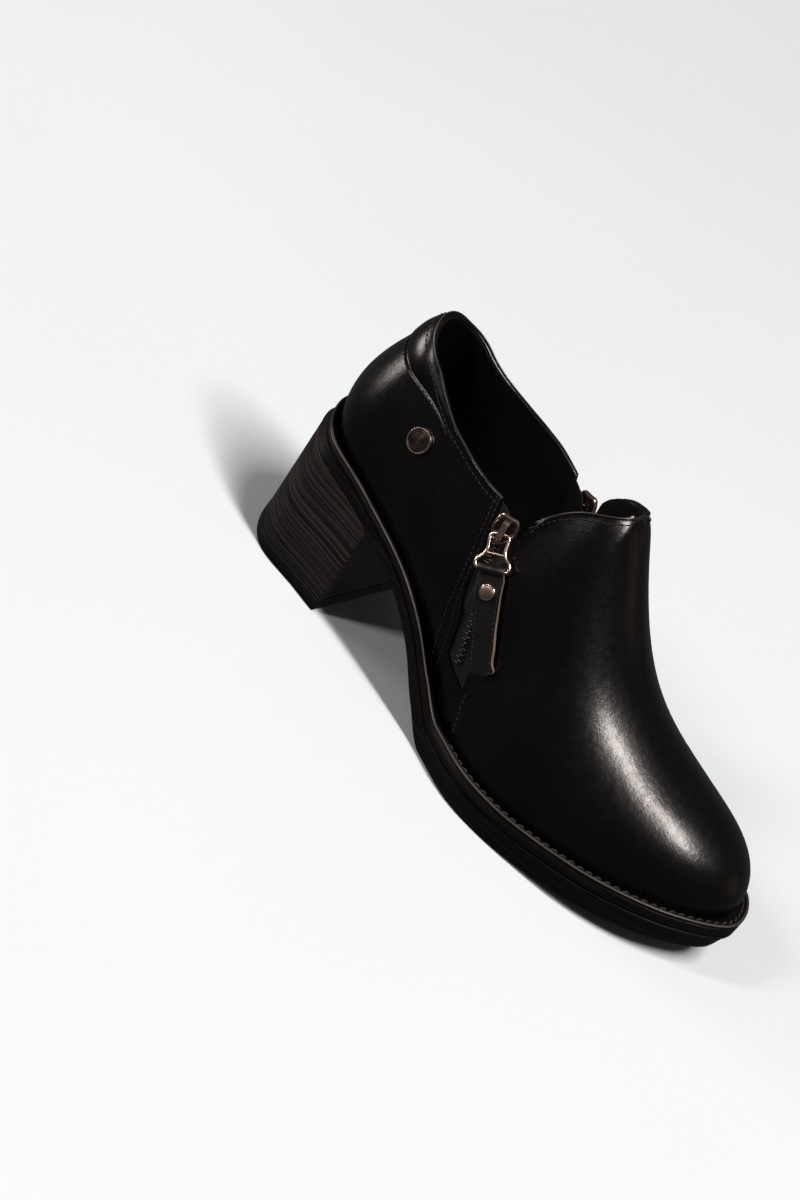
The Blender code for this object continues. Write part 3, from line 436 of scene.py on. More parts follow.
def station(s):
    """Column, side, angle of the fan and whether in a fan, for places round the shoe."""
    s = np.mod(s, ROUND_SHOE)
    side = np.where((s <= LAST + FAN / 2) | (s > MEDIAL + FAN / 2), -1.0, 1.0)
    column = np.where(s < LAST + FAN, np.minimum(s, LAST), np.maximum(MEDIAL - s, 0))
    angle = np.where(s < LAST + FAN, -90 + 180 * (s - LAST) / FAN, 90 + 180 * (s - MEDIAL) / FAN)
    fan = ((s > LAST) & (s < LAST + FAN)) | (s > MEDIAL)
    return column, side, np.radians(angle), fan


def top_share(s):
    column, side, angle, fan = station(s)
    heel = along(HEEL_CENTRE[0] + np.cos(angle) * COLLAR_BACK_RADIUS)
    return np.where(fan, np.where(column > 0, COLUMNS[-1][1], heel), TOP_OF(column))


def share_of(s, h):
    """Share of height from a row number: 0 to 1 below the panel seam and 1 to 2 above it."""
    seam = SEAM_AT(top_share(s))
    return np.where(h <= 1, seam * h, seam + (1 - seam) * (h - 1))


def place(s, h):
    """Points of the upper's form at places round the shoe and rows up the shoe."""
    s, h = np.broadcast_arrays(np.asarray(s, float), np.asarray(h, float))
    shape = s.shape
    s, h = s.ravel(), h.ravel()
    column, side, angle, fan = station(s)
    v = share_of(s, h)
    lean = 1 - np.abs(1 - v) ** BOW_OF(column)
    x = x_at(FOOT_OF(column) + (TOP_OF(column) - FOOT_OF(column)) * lean)
    at_toe = column > 0
    centre = np.column_stack((
        np.where(fan, np.where(at_toe, TOE_CENTRE[0], HEEL_CENTRE[0]), x),
        np.where(fan, np.where(at_toe, TOE_CENTRE[1], HEEL_CENTRE[1]), middle(x))))
    direction = np.column_stack((np.where(fan, np.cos(angle), 0.0), np.where(fan, np.sin(angle), side)))
    back = COLLAR_BACK_RADIUS + (edge_width(HEEL_CENTRE[0], side) - COLLAR_BACK_RADIUS) * np.sin(angle) ** 4
    top = np.where(fan, np.where(at_toe, 0.0, back), edge_width(x, side))
    points = []
    for i in range(0, len(s), POINTS_AT_ONCE):
        part = slice(i, i + POINTS_AT_ONCE)
        points.append(section(centre[part], direction[part], top[part], side[part], v[part]))
    return np.vstack(points).reshape(shape + (3,))


def unit(vectors):
    return vectors / np.maximum(np.linalg.norm(vectors, axis=-1, keepdims=True), 1e-12)


def normals_of(s, h):
    """Points and their outward normals; points that coincide share one normal."""
    ds, dh = 0.12, 0.006
    inner = np.clip(h, 0.01, 1.985)
    forward = place(s + ds, inner) - place(s - ds, inner)
    up = place(s, inner + dh) - place(s, inner - dh)
    normal = unit(np.cross(forward, up))
    points = place(s, h)
    keys = np.round(points.reshape(-1, 3) * 1e6).astype(np.int64)
    found, index = np.unique(keys, axis=0, return_inverse=True)
    index = index.ravel()
    total = np.zeros((len(found), 3))
    np.add.at(total, index, normal.reshape(-1, 3))
    return points, unit(total[index]).reshape(points.shape)


def crease_depth(points):
    """How deep the leather lies in its soft folds."""
    x, z = points[..., 0] / MM, points[..., 2] / MM
    depth = np.zeros(x.shape)
    for share, height, angle, length, width, size in CREASES:
        a = math.radians(angle)
        dx, dz = x - x_at(share) / MM, z - height
        u = (dx * math.cos(a) + dz * math.sin(a)) / length
        w = (-dx * math.sin(a) + dz * math.cos(a)) / width
        depth += size * np.exp(-u * u - w * w)
    return depth * MM


def panel_rise(s, h):
    """How far the padded collar panel stands out, with a pinched seam under it."""
    step = SEAM_STEP(top_share(s))
    p = np.clip(h - 1, 0, 1)
    puff = np.sin(np.pi * p) ** 0.8
    edge = np.clip(p / 0.05, 0, 1)
    return step * np.where(h > 1, edge * (PANEL_STEP + PANEL_PADDING * 0.8 * puff), 0.0)


def seam_groove(s, h):
    """Trough where the panel seam runs."""
    step = np.clip(SEAM_STEP(top_share(s)) * 3, 0, 1)
    return -0.55 * MM * step * np.exp(-((h - 0.988) / 0.016) ** 2)


def principled(name, colour, roughness, metallic=0.0, specular=0.5):
    material = bpy.data.materials.new(name)
    material.use_nodes = True
    shader = material.node_tree.nodes["Principled BSDF"]
    shader.inputs["Base Color"].default_value = (*colour, 1)
    shader.inputs["Roughness"].default_value = roughness
    shader.inputs["Metallic"].default_value = metallic
    shader.inputs["Specular IOR Level"].default_value = specular
    return material, material.node_tree, shader


def add_node(tree, kind, **inputs):
    node = tree.nodes.new(kind)
    for name, value in inputs.items():
        node.inputs[name].default_value = value
    return node


def texture_space(tree, scale=(1, 1, 1)):
    coordinates = add_node(tree, "ShaderNodeTexCoord")
    mapping = add_node(tree, "ShaderNodeMapping")
    mapping.inputs["Scale"].default_value = scale
    tree.links.new(coordinates.outputs["Object"], mapping.inputs["Vector"])
    return mapping.outputs["Vector"]


def noise(tree, vector, scale, detail=4.0, roughness=0.5):
    node = add_node(tree, "ShaderNodeTexNoise", Scale=scale, Detail=detail, Roughness=roughness)
    tree.links.new(vector, node.inputs["Vector"])
    return node.outputs["Fac"]


def voronoi(tree, vector, scale, feature="DISTANCE_TO_EDGE"):
    node = add_node(tree, "ShaderNodeTexVoronoi", Scale=scale)
    node.feature = feature
    tree.links.new(vector, node.inputs["Vector"])
    return node.outputs["Distance"]


def ramp(tree, value, *stops):
    """Colours over a value, from pairs of position and colour."""
    node = add_node(tree, "ShaderNodeValToRGB")
    elements = node.color_ramp.elements
    while len(elements) < len(stops):
        elements.new(1.0)
    for element, (position, colour) in zip(elements, stops):
        element.position = position
        element.color = (*colour, 1)
    tree.links.new(value, node.inputs["Fac"])
    return node.outputs["Color"]


def spread(tree, value, low, high):
    node = add_node(tree, "ShaderNodeMapRange")
    node.inputs["To Min"].default_value = low
    node.inputs["To Max"].default_value = high
    tree.links.new(value, node.inputs["Value"])
    return node.outputs["Result"]


def bump(tree, shader, layers):
    """Chain of bumps from rows of height, strength and distance."""
    before = None
    for height, strength, distance in layers:
        node = add_node(tree, "ShaderNodeBump", Strength=strength, Distance=distance)
        tree.links.new(height, node.inputs["Height"])
        if before is not None:
            tree.links.new(before, node.inputs["Normal"])
        before = node.outputs["Normal"]
    tree.links.new(before, shader.inputs["Normal"])


def leather_material(name, dark, light, rough, grain=1.0, specular=0.36):
    """Smooth leather: fine cells and drawn wrinkles, with a soft uneven gloss."""
    material, tree, shader = principled(name, dark, rough, specular=specular)
    space = texture_space(tree)
    drawn = texture_space(tree, (1.0, 1.0, 0.55))
    cells = voronoi(tree, drawn, 980.0)
    wrinkles = noise(tree, drawn, 420.0, 6.0, 0.62)
    fine = noise(tree, space, 2600.0, 3.0)
    wide = noise(tree, space, 40.0, 4.0)
    soft = noise(tree, space, 150.0, 3.0)
    tree.links.new(ramp(tree, wide, (0.35, dark), (0.7, light)), shader.inputs["Base Color"])
    tree.links.new(spread(tree, wrinkles, rough - 0.07, rough + 0.07), shader.inputs["Roughness"])
    bump(tree, shader, ((soft, 0.14 * grain, 0.5 * MM), (wrinkles, 0.24 * grain, 0.4 * MM),
                        (cells, 0.10 * grain, 0.2 * MM), (fine, 0.06 * grain, 0.1 * MM)))
    return material


def rubber_material(name, dark, base, light, lines, specular=0.22):
    """Moulded rubber; lines is how many fine level streaks there are in a metre."""
    material, tree, shader = principled(name, base, 0.5, specular=specular)
    space = texture_space(tree)
    flat = texture_space(tree, (14.0, 14.0, lines))
    streak = noise(tree, flat, 1.0, 5.0, 0.7)
    fine = noise(tree, space, 1500.0, 3.0)
    wide = noise(tree, space, 60.0, 3.0)
    tones = ramp(tree, streak, (0.36, dark), (0.47, base), (0.74, light))
    tree.links.new(tones, shader.inputs["Base Color"])
    tree.links.new(spread(tree, wide, 0.40, 0.58), shader.inputs["Roughness"])
    bump(tree, shader, ((streak, 0.35, 0.3 * MM), (fine, 0.2, 0.12 * MM)))
    return material


def metal_material(name, colour, rough):
    """Plated metal, dimmer and rougher in fine spots."""
    material, tree, shader = principled(name, colour, rough, metallic=1.0)
    space = texture_space(tree)
    wear = noise(tree, space, 500.0, 4.0)
    tone = ramp(tree, wear, (0.3, tuple(0.72 * c for c in colour)), (0.75, colour))
    tree.links.new(tone, shader.inputs["Base Color"])
    tree.links.new(spread(tree, wear, rough - 0.06, rough + 0.12), shader.inputs["Roughness"])
    bump(tree, shader, ((wear, 0.06, 0.1 * MM),))
    return material


def cloth_material(name, dark, light, threads):
    """Woven cloth; threads is how many cells of the weave there are in a metre."""
    material, tree, shader = principled(name, dark, 0.85, specular=0.3)
    space = texture_space(tree)
    weave = voronoi(tree, space, threads, "F1")
    fuzz = noise(tree, space, 3000.0, 2.0)
    tree.links.new(ramp(tree, weave, (0.1, light), (0.8, dark)), shader.inputs["Base Color"])
    tree.links.new(spread(tree, fuzz, 0.75, 0.95), shader.inputs["Roughness"])
    bump(tree, shader, ((weave, 0.4, 0.2 * MM), (fuzz, 0.2, 0.1 * MM)))
    return material


def make_materials():
    return {
        "leather": leather_material("black_leather", (0.0005, 0.0004, 0.0004), (0.0012, 0.0009, 0.0008),
                                    0.26),
        "pull": leather_material("pull_leather", (0.0018, 0.0016, 0.0016), (0.0036, 0.003, 0.0028), 0.42,
                                 0.7),
        "edge": leather_material("cut_edge", (0.085, 0.06, 0.045), (0.17, 0.125, 0.095), 0.55, 0.7, 0.4),
        "binding": leather_material("turned_edge", (0.016, 0.012, 0.0105), (0.055, 0.042, 0.034), 0.34,
                                    0.5, 0.5),
        "lining": leather_material("lining", (0.0016, 0.0014, 0.0015), (0.0035, 0.003, 0.003), 0.6),
        "sock": cloth_material("sock", (0.0016, 0.0015, 0.0016), (0.004, 0.0035, 0.0035), 1500.0),
        "rubber": rubber_material("sole_edge", (0.0012, 0.0009, 0.0008), (0.0026, 0.0021, 0.0019),
                                  (0.008, 0.0065, 0.0058), 900.0, 0.14),
        # The bead's lighter rubber is a painted highlight: the rim's upward faces are made lighter where
        # light from above falls on them.
        "bead": rubber_material("sole_bead_painted_highlight", (0.014, 0.0115, 0.0105), (0.028, 0.023, 0.021),
                                (0.05, 0.042, 0.038), 900.0, 0.4),
        "stack": rubber_material("stacked_heel", (0.0010, 0.0008, 0.0007), (0.0056, 0.0045, 0.0040),
                                 (0.034, 0.028, 0.025), 1300.0, 0.2),
        "tape": cloth_material("zip_tape", (0.0014, 0.0014, 0.0016), (0.0055, 0.005, 0.0052), 1400.0),
        "teeth": metal_material("zip_teeth", (0.10, 0.085, 0.078), 0.25),
        "nickel": metal_material("warm_nickel", (0.66, 0.50, 0.42), 0.20),
        "rivet_face": metal_material("rivet_face", (0.30, 0.225, 0.185), 0.36),
        "dark_nickel": metal_material("dark_nickel", (0.085, 0.066, 0.058), 0.26),
        # The thread's lighter tone is partly its weave and partly a painted highlight: it was raised to
        # stand for the glints on the stitches.
        "thread": cloth_material("thread", (0.004, 0.0034, 0.0032), (0.030, 0.024, 0.021), 4000.0),
        "welt_thread": cloth_material("welt_thread", (0.008, 0.007, 0.0065), (0.045, 0.039, 0.035),
                                      4000.0),
    }


def mesh_object(name, shape, material, replaces=(), smooth_deg=40.0, body="shoe"):
    """Piece from its points and faces, riding on a body."""
    verts, faces = shape
    mesh = bpy.data.meshes.new(name)
    bm = bmesh.new()
    made = [bm.verts.new(v) for v in verts]
    for face in faces:
        corners = list(dict.fromkeys(face))
        if len(corners) > 2:
            bm.faces.new([made[i] for i in corners])
    bmesh.ops.remove_doubles(bm, verts=bm.verts, dist=1e-6)
    bmesh.ops.recalc_face_normals(bm, faces=bm.faces)
    bm.to_mesh(mesh)
    bm.free()
    mesh.shade_smooth()
    mesh.set_sharp_from_angle(angle=math.radians(smooth_deg))
    mesh.materials.append(material)
    obj = bpy.data.objects.new(name, mesh)
    bpy.context.scene.collection.objects.link(obj)
    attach(obj, body)
    if replaces:
        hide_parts(*replaces)
    return obj


def add_modifier(obj, name, kind, **settings):
    modifier = obj.modifiers.new(name, kind)
    for key, value in settings.items():
        setattr(modifier, key, value)


def paint(obj, material, picks):
    """Gives a second material to the faces that a test of centre and normal picks."""
    obj.data.materials.append(material)
    for face in obj.data.polygons:
        if picks(np.array(face.center), np.array(face.normal)):
            face.material_index = 1


def ring_faces(rings, count, joined=False, capped=False):
    """Quads between rings of points; the last ring meets the first, or both ends get a cap."""
    faces = []
    if capped:
        faces += [tuple(range(count)), tuple(range((rings - 1) * count, rings * count))]
    for i in range(rings if joined else rings - 1):
        after = (i + 1) % rings
        for k in range(count):
            nxt = (k + 1) % count
            faces.append((i * count + k, i * count + nxt, after * count + nxt, after * count + k))
    return faces


def turns(count):
    """Angles of equal steps round a circle."""
    return [2 * math.pi * k / count for k in range(count)]


def spaced(stops, steps):
    """Values through the stops, with some steps on each stretch."""
    values = [np.linspace(a, b, n, endpoint=False) for (a, b), n in zip(zip(stops, stops[1:]), steps)]
    return np.append(np.concatenate(values), stops[-1])


def relax(points, weight, rounds, upward=False):
    """Evens out kinks between neighbours, along the rows and, where asked, up them too."""
    points = points.copy()
    for _ in range(rounds):
        points[1:-1] += weight[1:-1] * (0.5 * (points[:-2] + points[2:]) - points[1:-1]) * 0.5
        if upward:
            inner = 0.5 * (points[:, :-2] + points[:, 2:]) - points[:, 1:-1]
            points[:, 1:-1] += weight[:, 1:-1] * inner * 0.25
    return points


def leather_sheet(name, places, rows, rise, skip, thickness, material, replaces=(), closed=False,
                  settle=None):
    """Sheet over the upper's form, its thickness inwards, with round edges."""
    s, h = np.meshgrid(places, rows, indexing="ij")
    points, normals = normals_of(s, h)
    points = points + normals * rise(s, h, points)[..., None]
    if settle:
        points = settle(s, h, points)
    count, high = points.shape[:2]
    faces = []
    for i in range(count if closed else count - 1):
        after = (i + 1) % count
        for j in range(high - 1):
            if not skip(0.5 * (places[i] + places[min(i + 1, count - 1)]), 0.5 * (rows[j] + rows[j + 1])):
                faces.append((i * high + j, after * high + j, after * high + j + 1, i * high + j + 1))
    used = sorted({k for face in faces for k in face})
    number = {k: n for n, k in enumerate(used)}
    faces = [tuple(number[k] for k in face) for face in faces]
    obj = mesh_object(name, (points.reshape(-1, 3)[used], faces), material, replaces, 60.0)
    face = obj.data.polygons[len(obj.data.polygons) // 2]
    if np.dot(np.array(face.normal), np.array(face.center) - INSIDE) < 0:
        obj.data.flip_normals()
    add_modifier(obj, "thickness", "SOLIDIFY", thickness=thickness, offset=-1.0, use_even_offset=False)
    add_modifier(obj, "edge", "BEVEL", width=0.35 * thickness, segments=3, limit_method="ANGLE",
                 angle_limit=math.radians(50), harden_normals=False)
    return obj


INSIDE = np.array((0.05, 0.0, 0.05))
HEIGHTS = np.concatenate((np.linspace(0, SLOT_SHARE, 9)[:-1], np.linspace(SLOT_SHARE, 0.93, 44)[:-1],
                          np.linspace(0.93, 1.0, 10)[:-1], np.linspace(1.0, 1.12, 7)[:-1],
                          np.linspace(1.12, 2.0, 14)))

def mirrored(s):
    """The same column on the medial side."""
    return MEDIAL - s


def ease_ridge(s, points):
    """Rounds the ridge where the two sides of the vamp meet; the fan's tops stay one point."""
    reach_in = np.minimum(s[:, 0] - RIDGE, mirrored(RIDGE) - s[:, 0])
    share = 0.5 * np.clip(reach_in / 1.5, 0, 1)[:, None]
    near = 0.5 * (points[:, -2] + points[::-1, -2])
    points[:, -1] += share * (near - points[:, -1])
    fan = np.abs(s[:, 0] - 0.5 * MEDIAL) < 0.5 * FAN + 0.001
    points[fan, -1] = points[fan, -1].mean(axis=0)
    return points


def make_vamp(mats):
    stops = [VAMP_EDGE, RIDGE, LAST, LAST + FAN, mirrored(RIDGE), mirrored(VAMP_EDGE)]
    places = spaced(stops, [56, 56, 72, 56, 56])

    def rise(s, h, points):
        return VAMP_STEP - crease_depth(points)

    def settle(s, h, points):
        edge = np.clip(np.minimum((s - s.min()) / 1.5, (s.max() - s) / 1.5), 0, 1)
        weight = (edge * (h < 1.999))[..., None]
        for _ in range(15):
            points = ease_ridge(s, relax(points, weight, 3, True))
        return points

    leather_sheet("vamp", places, HEIGHTS, rise, lambda s, h: False, LEATHER, mats["leather"],
                  settle=settle)


def quarter_rise(s, h, points):
    return panel_rise(s, h) + seam_groove(s, h) - crease_depth(points)


def in_slot(s, h):
    column, side, angle, fan = station(np.float64(s))
    return not fan and column > QUARTER_EDGE and h > SLOT_SHARE


def make_quarters(mats):
    under = VAMP_EDGE + 1.2
    stops = [mirrored(under), mirrored(SLOT_FRONT), mirrored(QUARTER_EDGE), MEDIAL, ROUND_SHOE,
             ROUND_SHOE + QUARTER_EDGE, ROUND_SHOE + SLOT_FRONT, ROUND_SHOE + under]
    places = spaced(stops, [10, 16, 64, 96, 64, 16, 10])

    def settle(s, h, points):
        near = np.minimum(np.abs(s - MEDIAL), np.abs(s - ROUND_SHOE))
        return relax(points, np.clip(2 - near / 2.5, 0, 1)[..., None], 60)

    leather_sheet("quarters", places, HEIGHTS, quarter_rise, in_slot, LEATHER, mats["leather"],
                  ("upper",), settle=settle)


def make_lining(mats):
    stops = [0, QUARTER_EDGE, SLOT_FRONT, VAMP_EDGE, RIDGE, LAST, LAST + FAN, mirrored(RIDGE),
             mirrored(VAMP_EDGE), mirrored(SLOT_FRONT), mirrored(QUARTER_EDGE), MEDIAL, ROUND_SHOE]
    places = spaced(stops, [24, 6, 3, 22, 16, 28, 16, 22, 3, 6, 24, 40])[:-1]
    rows = np.concatenate((np.linspace(0, SLOT_SHARE, 4)[:-1], np.linspace(SLOT_SHARE, 1, 20)[:-1],
                           np.linspace(1, 2, 6)))

    def skip(s, h):
        column = s if s < LAST else mirrored(s)
        return QUARTER_EDGE < column < SLOT_FRONT and h > SLOT_SHARE

    def rise(s, h, points):
        return np.full(s.shape, -WALL + LINING_THICKNESS)

    leather_sheet("lining", places, rows, rise, skip, LINING_THICKNESS, mats["lining"],
                  closed=True)


def tube(path, normals, width, depth, sides=10, closed=False):
    """Tube of oval section along a path, with its depth along the normals."""
    if closed:
        tangent = unit(np.roll(path, -1, axis=0) - np.roll(path, 1, axis=0))
    else:
        tangent = unit(np.gradient(path, axis=0))
    beside = unit(np.cross(tangent, normals))
    out = np.cross(beside, tangent)
    verts = []
    for here, across, up in zip(path, beside, out):
        for angle in turns(sides):
            verts.append(here + across * width * math.cos(angle) + up * depth * math.sin(angle))
    return verts, ring_faces(len(path), sides, closed, not closed)


def join_parts(parts):
    """One list of points and faces from several."""
    verts, faces = [], []
    for part_verts, part_faces in parts:
        faces += [tuple(k + len(verts) for k in face) for face in part_faces]
        verts += list(part_verts)
    return verts, faces


def resample(path, normals, pitch):
    """Points at an even pitch along a path, with their normals."""
    lengths = np.concatenate(([0], np.cumsum(np.linalg.norm(np.diff(path, axis=0), axis=1))))
    at = np.arange(0.5 * pitch, lengths[-1], pitch)
    points = np.column_stack([np.interp(at, lengths, path[:, i]) for i in range(3)])
    out = unit(np.column_stack([np.interp(at, lengths, normals[:, i]) for i in range(3)]))
    return points, out


def stitches(path, normals, pitch=2.4 * MM, length=1.7 * MM, radius=STITCH_RADIUS, tilt=0.0):
    """Row of short thread capsules on a path, each dipping into its holes."""
    points, out = resample(path, normals, pitch)
    tangent = unit(np.gradient(points, axis=0))
    parts = []
    for point, along_row, up in zip(points, tangent, out):
        beside = np.cross(up, along_row)
        run = unit(along_row + beside * tilt)
        ends = np.linspace(-0.5, 0.5, 5)[:, None] * length * run
        dip = -(np.linspace(-1, 1, 5)[:, None] ** 2) * 1.5 * radius * up
        parts.append(tube(point + ends + dip, np.tile(up, (5, 1)), radius, radius, sides=6))
    return join_parts(parts)


def sewn_row(s, h, rise):
    """Stitches along places s and rows h, on leather that stands out by a rise."""
    points, normals = normals_of(s, h)
    return stitches(points + normals * (rise - crease_depth(points))[:, None], normals)


def distance_rows(s, far):
    """Rows h to follow at a distance below the upper edge, for each place s."""
    edge = place(s, np.full(len(s), 2.0))
    result = np.full(len(s), 2.0)
    for h in np.linspace(2.0, 0.6, 120):
        gap = np.linalg.norm(place(s, np.full(len(s), h)) - edge, axis=1)
        result = np.where(gap < far, h, result)
    return result


def front_places(margin, steps):
    """Places along the vamp's top edge, from a margin inside one end to a margin inside the other."""
    lateral = np.linspace(VAMP_EDGE + margin, RIDGE, steps)
    medial = np.linspace(mirrored(RIDGE), mirrored(VAMP_EDGE) - margin, steps)
    return np.concatenate((lateral, medial[1:]))


def make_binding(mats):
    """Turned edge along the collar and the vamp's top, dark with a thin lighter line on its outer rim."""
    turned, light_rim_lines = [], []
    back = np.linspace(mirrored(QUARTER_EDGE) + 0.05, ROUND_SHOE + QUARTER_EDGE - 0.05, 260)
    front = front_places(0.05, 60)
    top = np.full(len(back), 2.0)
    for s, out in ((back, panel_rise(back, top)), (front, np.full(len(front), VAMP_STEP))):
        points, normals = normals_of(s, np.full(len(s), 2.0))
        up = unit(points - place(s, np.full(len(s), 1.97)))
        up = unit(up - normals * (up * normals).sum(1)[:, None])
        centre = points + normals * (0.5 * (out - WALL))[:, None] + up * 0.1 * MM
        turned.append(tube(centre, normals, 0.75 * MM, 0.5 * WALL + 0.2 * MM, sides=12))
        rim = points + normals * (out - 0.15 * MM)[:, None] + up * 0.5 * MM
        light_rim_lines.append(tube(rim, normals, 0.30 * MM, 0.26 * MM, sides=8))
    mesh_object("collar_binding", join_parts(turned), mats["leather"])
    mesh_object("collar_edge_line", join_parts(light_rim_lines), mats["binding"])


def slot_stitches(medial):
    """Two rows behind the zip and one in front of its foot, on the lateral or the medial side."""
    parts = []
    for offset in (0.30, 0.78):
        rows = np.linspace(SLOT_SHARE * 0.2, 1.9, 120)
        if medial:
            rows = rows[::-1]
        column = QUARTER_EDGE - offset * (1.35 - 0.55 * rows / 2)
        parts.append(sewn_row(mirrored(column) if medial else column, rows, 0.1 * MM))
    column = np.full(30, VAMP_EDGE + 0.55)
    points, normals = normals_of(mirrored(column) if medial else column, np.linspace(0.03, SLOT_SHARE, 30))
    parts.append(stitches(points + normals * (VAMP_STEP + 0.1 * MM), normals))
    return parts


def make_stitching(mats):
    """Rows under the collar, under the vamp's top, along the panel seam and beside the zips."""
    back = np.linspace(mirrored(QUARTER_EDGE) + 0.3, ROUND_SHOE + QUARTER_EDGE - 0.3, 300)
    rows = distance_rows(back, EDGE_TO_STITCH)
    front = front_places(0.4, 80)
    seam = np.linspace(MEDIAL - 2.3, ROUND_SHOE + 2.3, 200)
    parts = [sewn_row(back, rows, panel_rise(back, rows) + 0.1 * MM),
             sewn_row(front, distance_rows(front, EDGE_TO_STITCH), VAMP_STEP + 0.1 * MM),
             sewn_row(seam, np.full(len(seam), 0.965), 0.08 * MM)]
    for medial in (False, True):
        parts += slot_stitches(medial)
    mesh_object("stitches", join_parts(parts), mats["thread"], smooth_deg=70.0)


def zip_x(across, v):
    """Where the zip lies at a height share: across is 0 at the quarter's edge and 1 at the vamp's."""
    def column_x(column):
        foot, top, bow = COLUMNS[column]
        return x_at(foot + (top - foot) * (1 - np.abs(1 - v) ** bow))

    rear, front = column_x(QUARTER_EDGE), column_x(SLOT_FRONT)
    return rear + across * (front - rear)


def surface(side, x, v):
    """Points of one side and their outward normals."""
    x, v = np.broadcast_arrays(np.atleast_1d(np.asarray(x, float)), np.atleast_1d(np.asarray(v, float)))
    turn = np.where(v > 0.5, -0.01, 0.01)
    point = side_point(x, side, v)
    forward = side_point(x + 0.4 * MM, side, v) - point
    up = (side_point(x, side, v + turn) - point) / turn[:, None]
    return point, unit(np.cross(forward, up) * -side)


def surface_at_height(side, x, z):
    """Point and normal of one side at a height over the floor, found by halving."""
    low, high = 0.0, 1.1
    for _ in range(24):
        half = 0.5 * (low + high)
        if side_point(x, side, half)[0, 2] < z:
            low = half
        else:
            high = half
    point, normal = surface(side, x, low)
    return point[0], normal[0]


def make_zip(suffix, side, mats):
    """Woven tape in the slot, raised along its middle, with its two rows of teeth."""
    v = np.linspace(0.125, 0.985, 90)
    grid = []
    for across in np.linspace(-0.02, 1.10, 15):
        point, normal = surface(side, zip_x(across, v), v)
        cord = 0.35 * MM * math.exp(-((across - 0.5) / 0.13) ** 2)
        grid.append(point + normal * (-TAPE_DEPTH - 0.25 * MM + cord))
    count = len(v)
    faces = [(i * count + j, (i + 1) * count + j, (i + 1) * count + j + 1, i * count + j + 1)
             for i in range(len(grid) - 1) for j in range(count - 1)]
    tape = mesh_object("tape_" + suffix, (np.concatenate(grid), faces), mats["tape"],
                       ("zip_" + suffix,), 60.0)
    point, normal = surface(side, zip_x(0.5, 0.5), 0.5)
    nearest = min(tape.data.polygons, key=lambda face: np.linalg.norm(np.array(face.center) - point[0]))
    if np.dot(np.array(nearest.normal), normal[0]) < 0:
        tape.data.flip_normals()
    add_modifier(tape, "thickness", "SOLIDIFY", thickness=0.5 * MM, offset=-1.0)
    make_teeth(suffix, side, mats)


def make_teeth(suffix, side, mats):
    v = np.linspace(0.16, 0.97, 400)
    point, normal = surface(side, zip_x(0.5, v), v)
    path, out = resample(point - normal * 0.45 * MM, normal, 1.25 * MM)
    tangent = unit(np.gradient(path, axis=0))
    parts = []
    for i, (centre, run, up) in enumerate(zip(path, tangent, out)):
        beside = np.cross(run, up)
        shift = 0.6 * MM * (1 if i % 2 else -1)
        size = (2.0 * MM, 0.95 * MM, 0.9 * MM)
        parts.append(rounded_block(centre + beside * shift, (beside, run, up), size))
    mesh_object("teeth_" + suffix, join_parts(parts), mats["teeth"], smooth_deg=50.0)


BLOCK_OUTLINE = ((-1, -0.6), (-0.75, -1), (0.75, -1), (1, -0.6), (1, 0.6), (0.75, 1), (-0.75, 1), (-1, 0.6))
BLOCK_LEVELS = ((-0.5, 0.8), (-0.3, 1.0), (0.3, 1.0), (0.5, 0.75))


def rounded_block(centre, axes, size):
    """Small block with chamfered edges, from its axes and its length, width and height."""
    long_axis, run, up = axes
    length, width, height = size
    verts = []
    for share, inset in BLOCK_LEVELS:
        for a, b in BLOCK_OUTLINE:
            verts.append(centre + long_axis * a * 0.5 * length * inset + run * b * 0.5 * width * inset
                         + up * share * height)
    return verts, ring_faces(len(BLOCK_LEVELS), len(BLOCK_OUTLINE), capped=True)


def pull_frame(side):
    """The slider's seat: its point, and the ways down the zip, across it and out."""
    point, normal = surface(side, zip_x(0.5, SLIDER_SHARE), SLIDER_SHARE)
    point, normal = point[0], normal[0]
    lower = surface(side, zip_x(0.5, SLIDER_SHARE - 0.1), SLIDER_SHARE - 0.1)[0][0]
    down = lower - point
    down = unit(down - normal * down.dot(normal))
    return point, down, np.cross(normal, down), normal


def hinge_point(side):
    point, down, across, normal = pull_frame(side)
    height = SLIDER_BASE + SLIDER_THICKNESS + WIRE_PLAY + 0.5 * WIRE_DIAMETER
    slip = 0.5 * BRIDGE_LENGTH - BRIDGE_BAR - 3 * WIRE_PLAY - 0.5 * WIRE_DIAMETER
    return point + normal * height + down * slip


def hang_path(side):
    """Where the pull hangs: points on the leather down a slanting line, with heading and normal."""
    angle = math.radians(HANG_DEG)
    line = np.array((math.sin(angle), 0.0, -math.cos(angle)))
    steps = int(PULL_LENGTH / HANG_STEP) + 1
    here = hinge_point(side)
    path = []
    for _ in range(steps + 1):
        here, normal = surface_at_height(side, here[0], here[2])
        heading = line.copy()
        heading[1] = -line.dot(normal) / normal[1]
        heading = unit(heading)
        path.append((here, heading, normal))
        here = here + heading * (PULL_LENGTH / steps)
    return path


def on_path(path, u):
    at = min(max(u / PULL_LENGTH, 0.0), 1.0) * (len(path) - 1)
    i = min(int(at), len(path) - 2)
    t = at - i
    point, heading, normal = (a * (1 - t) + b * t for a, b in zip(path[i], path[i + 1]))
    return point, unit(heading), unit(normal)


def tab_lift(across, normal):
    return TAB_LIFT + 0.5 * TAB_WIDTH * abs(across.dot(normal))


def pull_axes(side, path):
    """Hinge, the link's lower bar, and the link's ways down, across and out."""
    hinge = hinge_point(side)
    out = pull_frame(side)[3]
    foot, heading, normal = on_path(path, LINK_LENGTH)
    across = unit(np.cross(out, foot - hinge))
    bar = foot + normal * (tab_lift(across, normal) + FOLD_RADIUS)
    across = unit(np.cross(out, bar - hinge))
    down = unit(bar - hinge)
    return hinge, bar, down, across, np.cross(down, across)


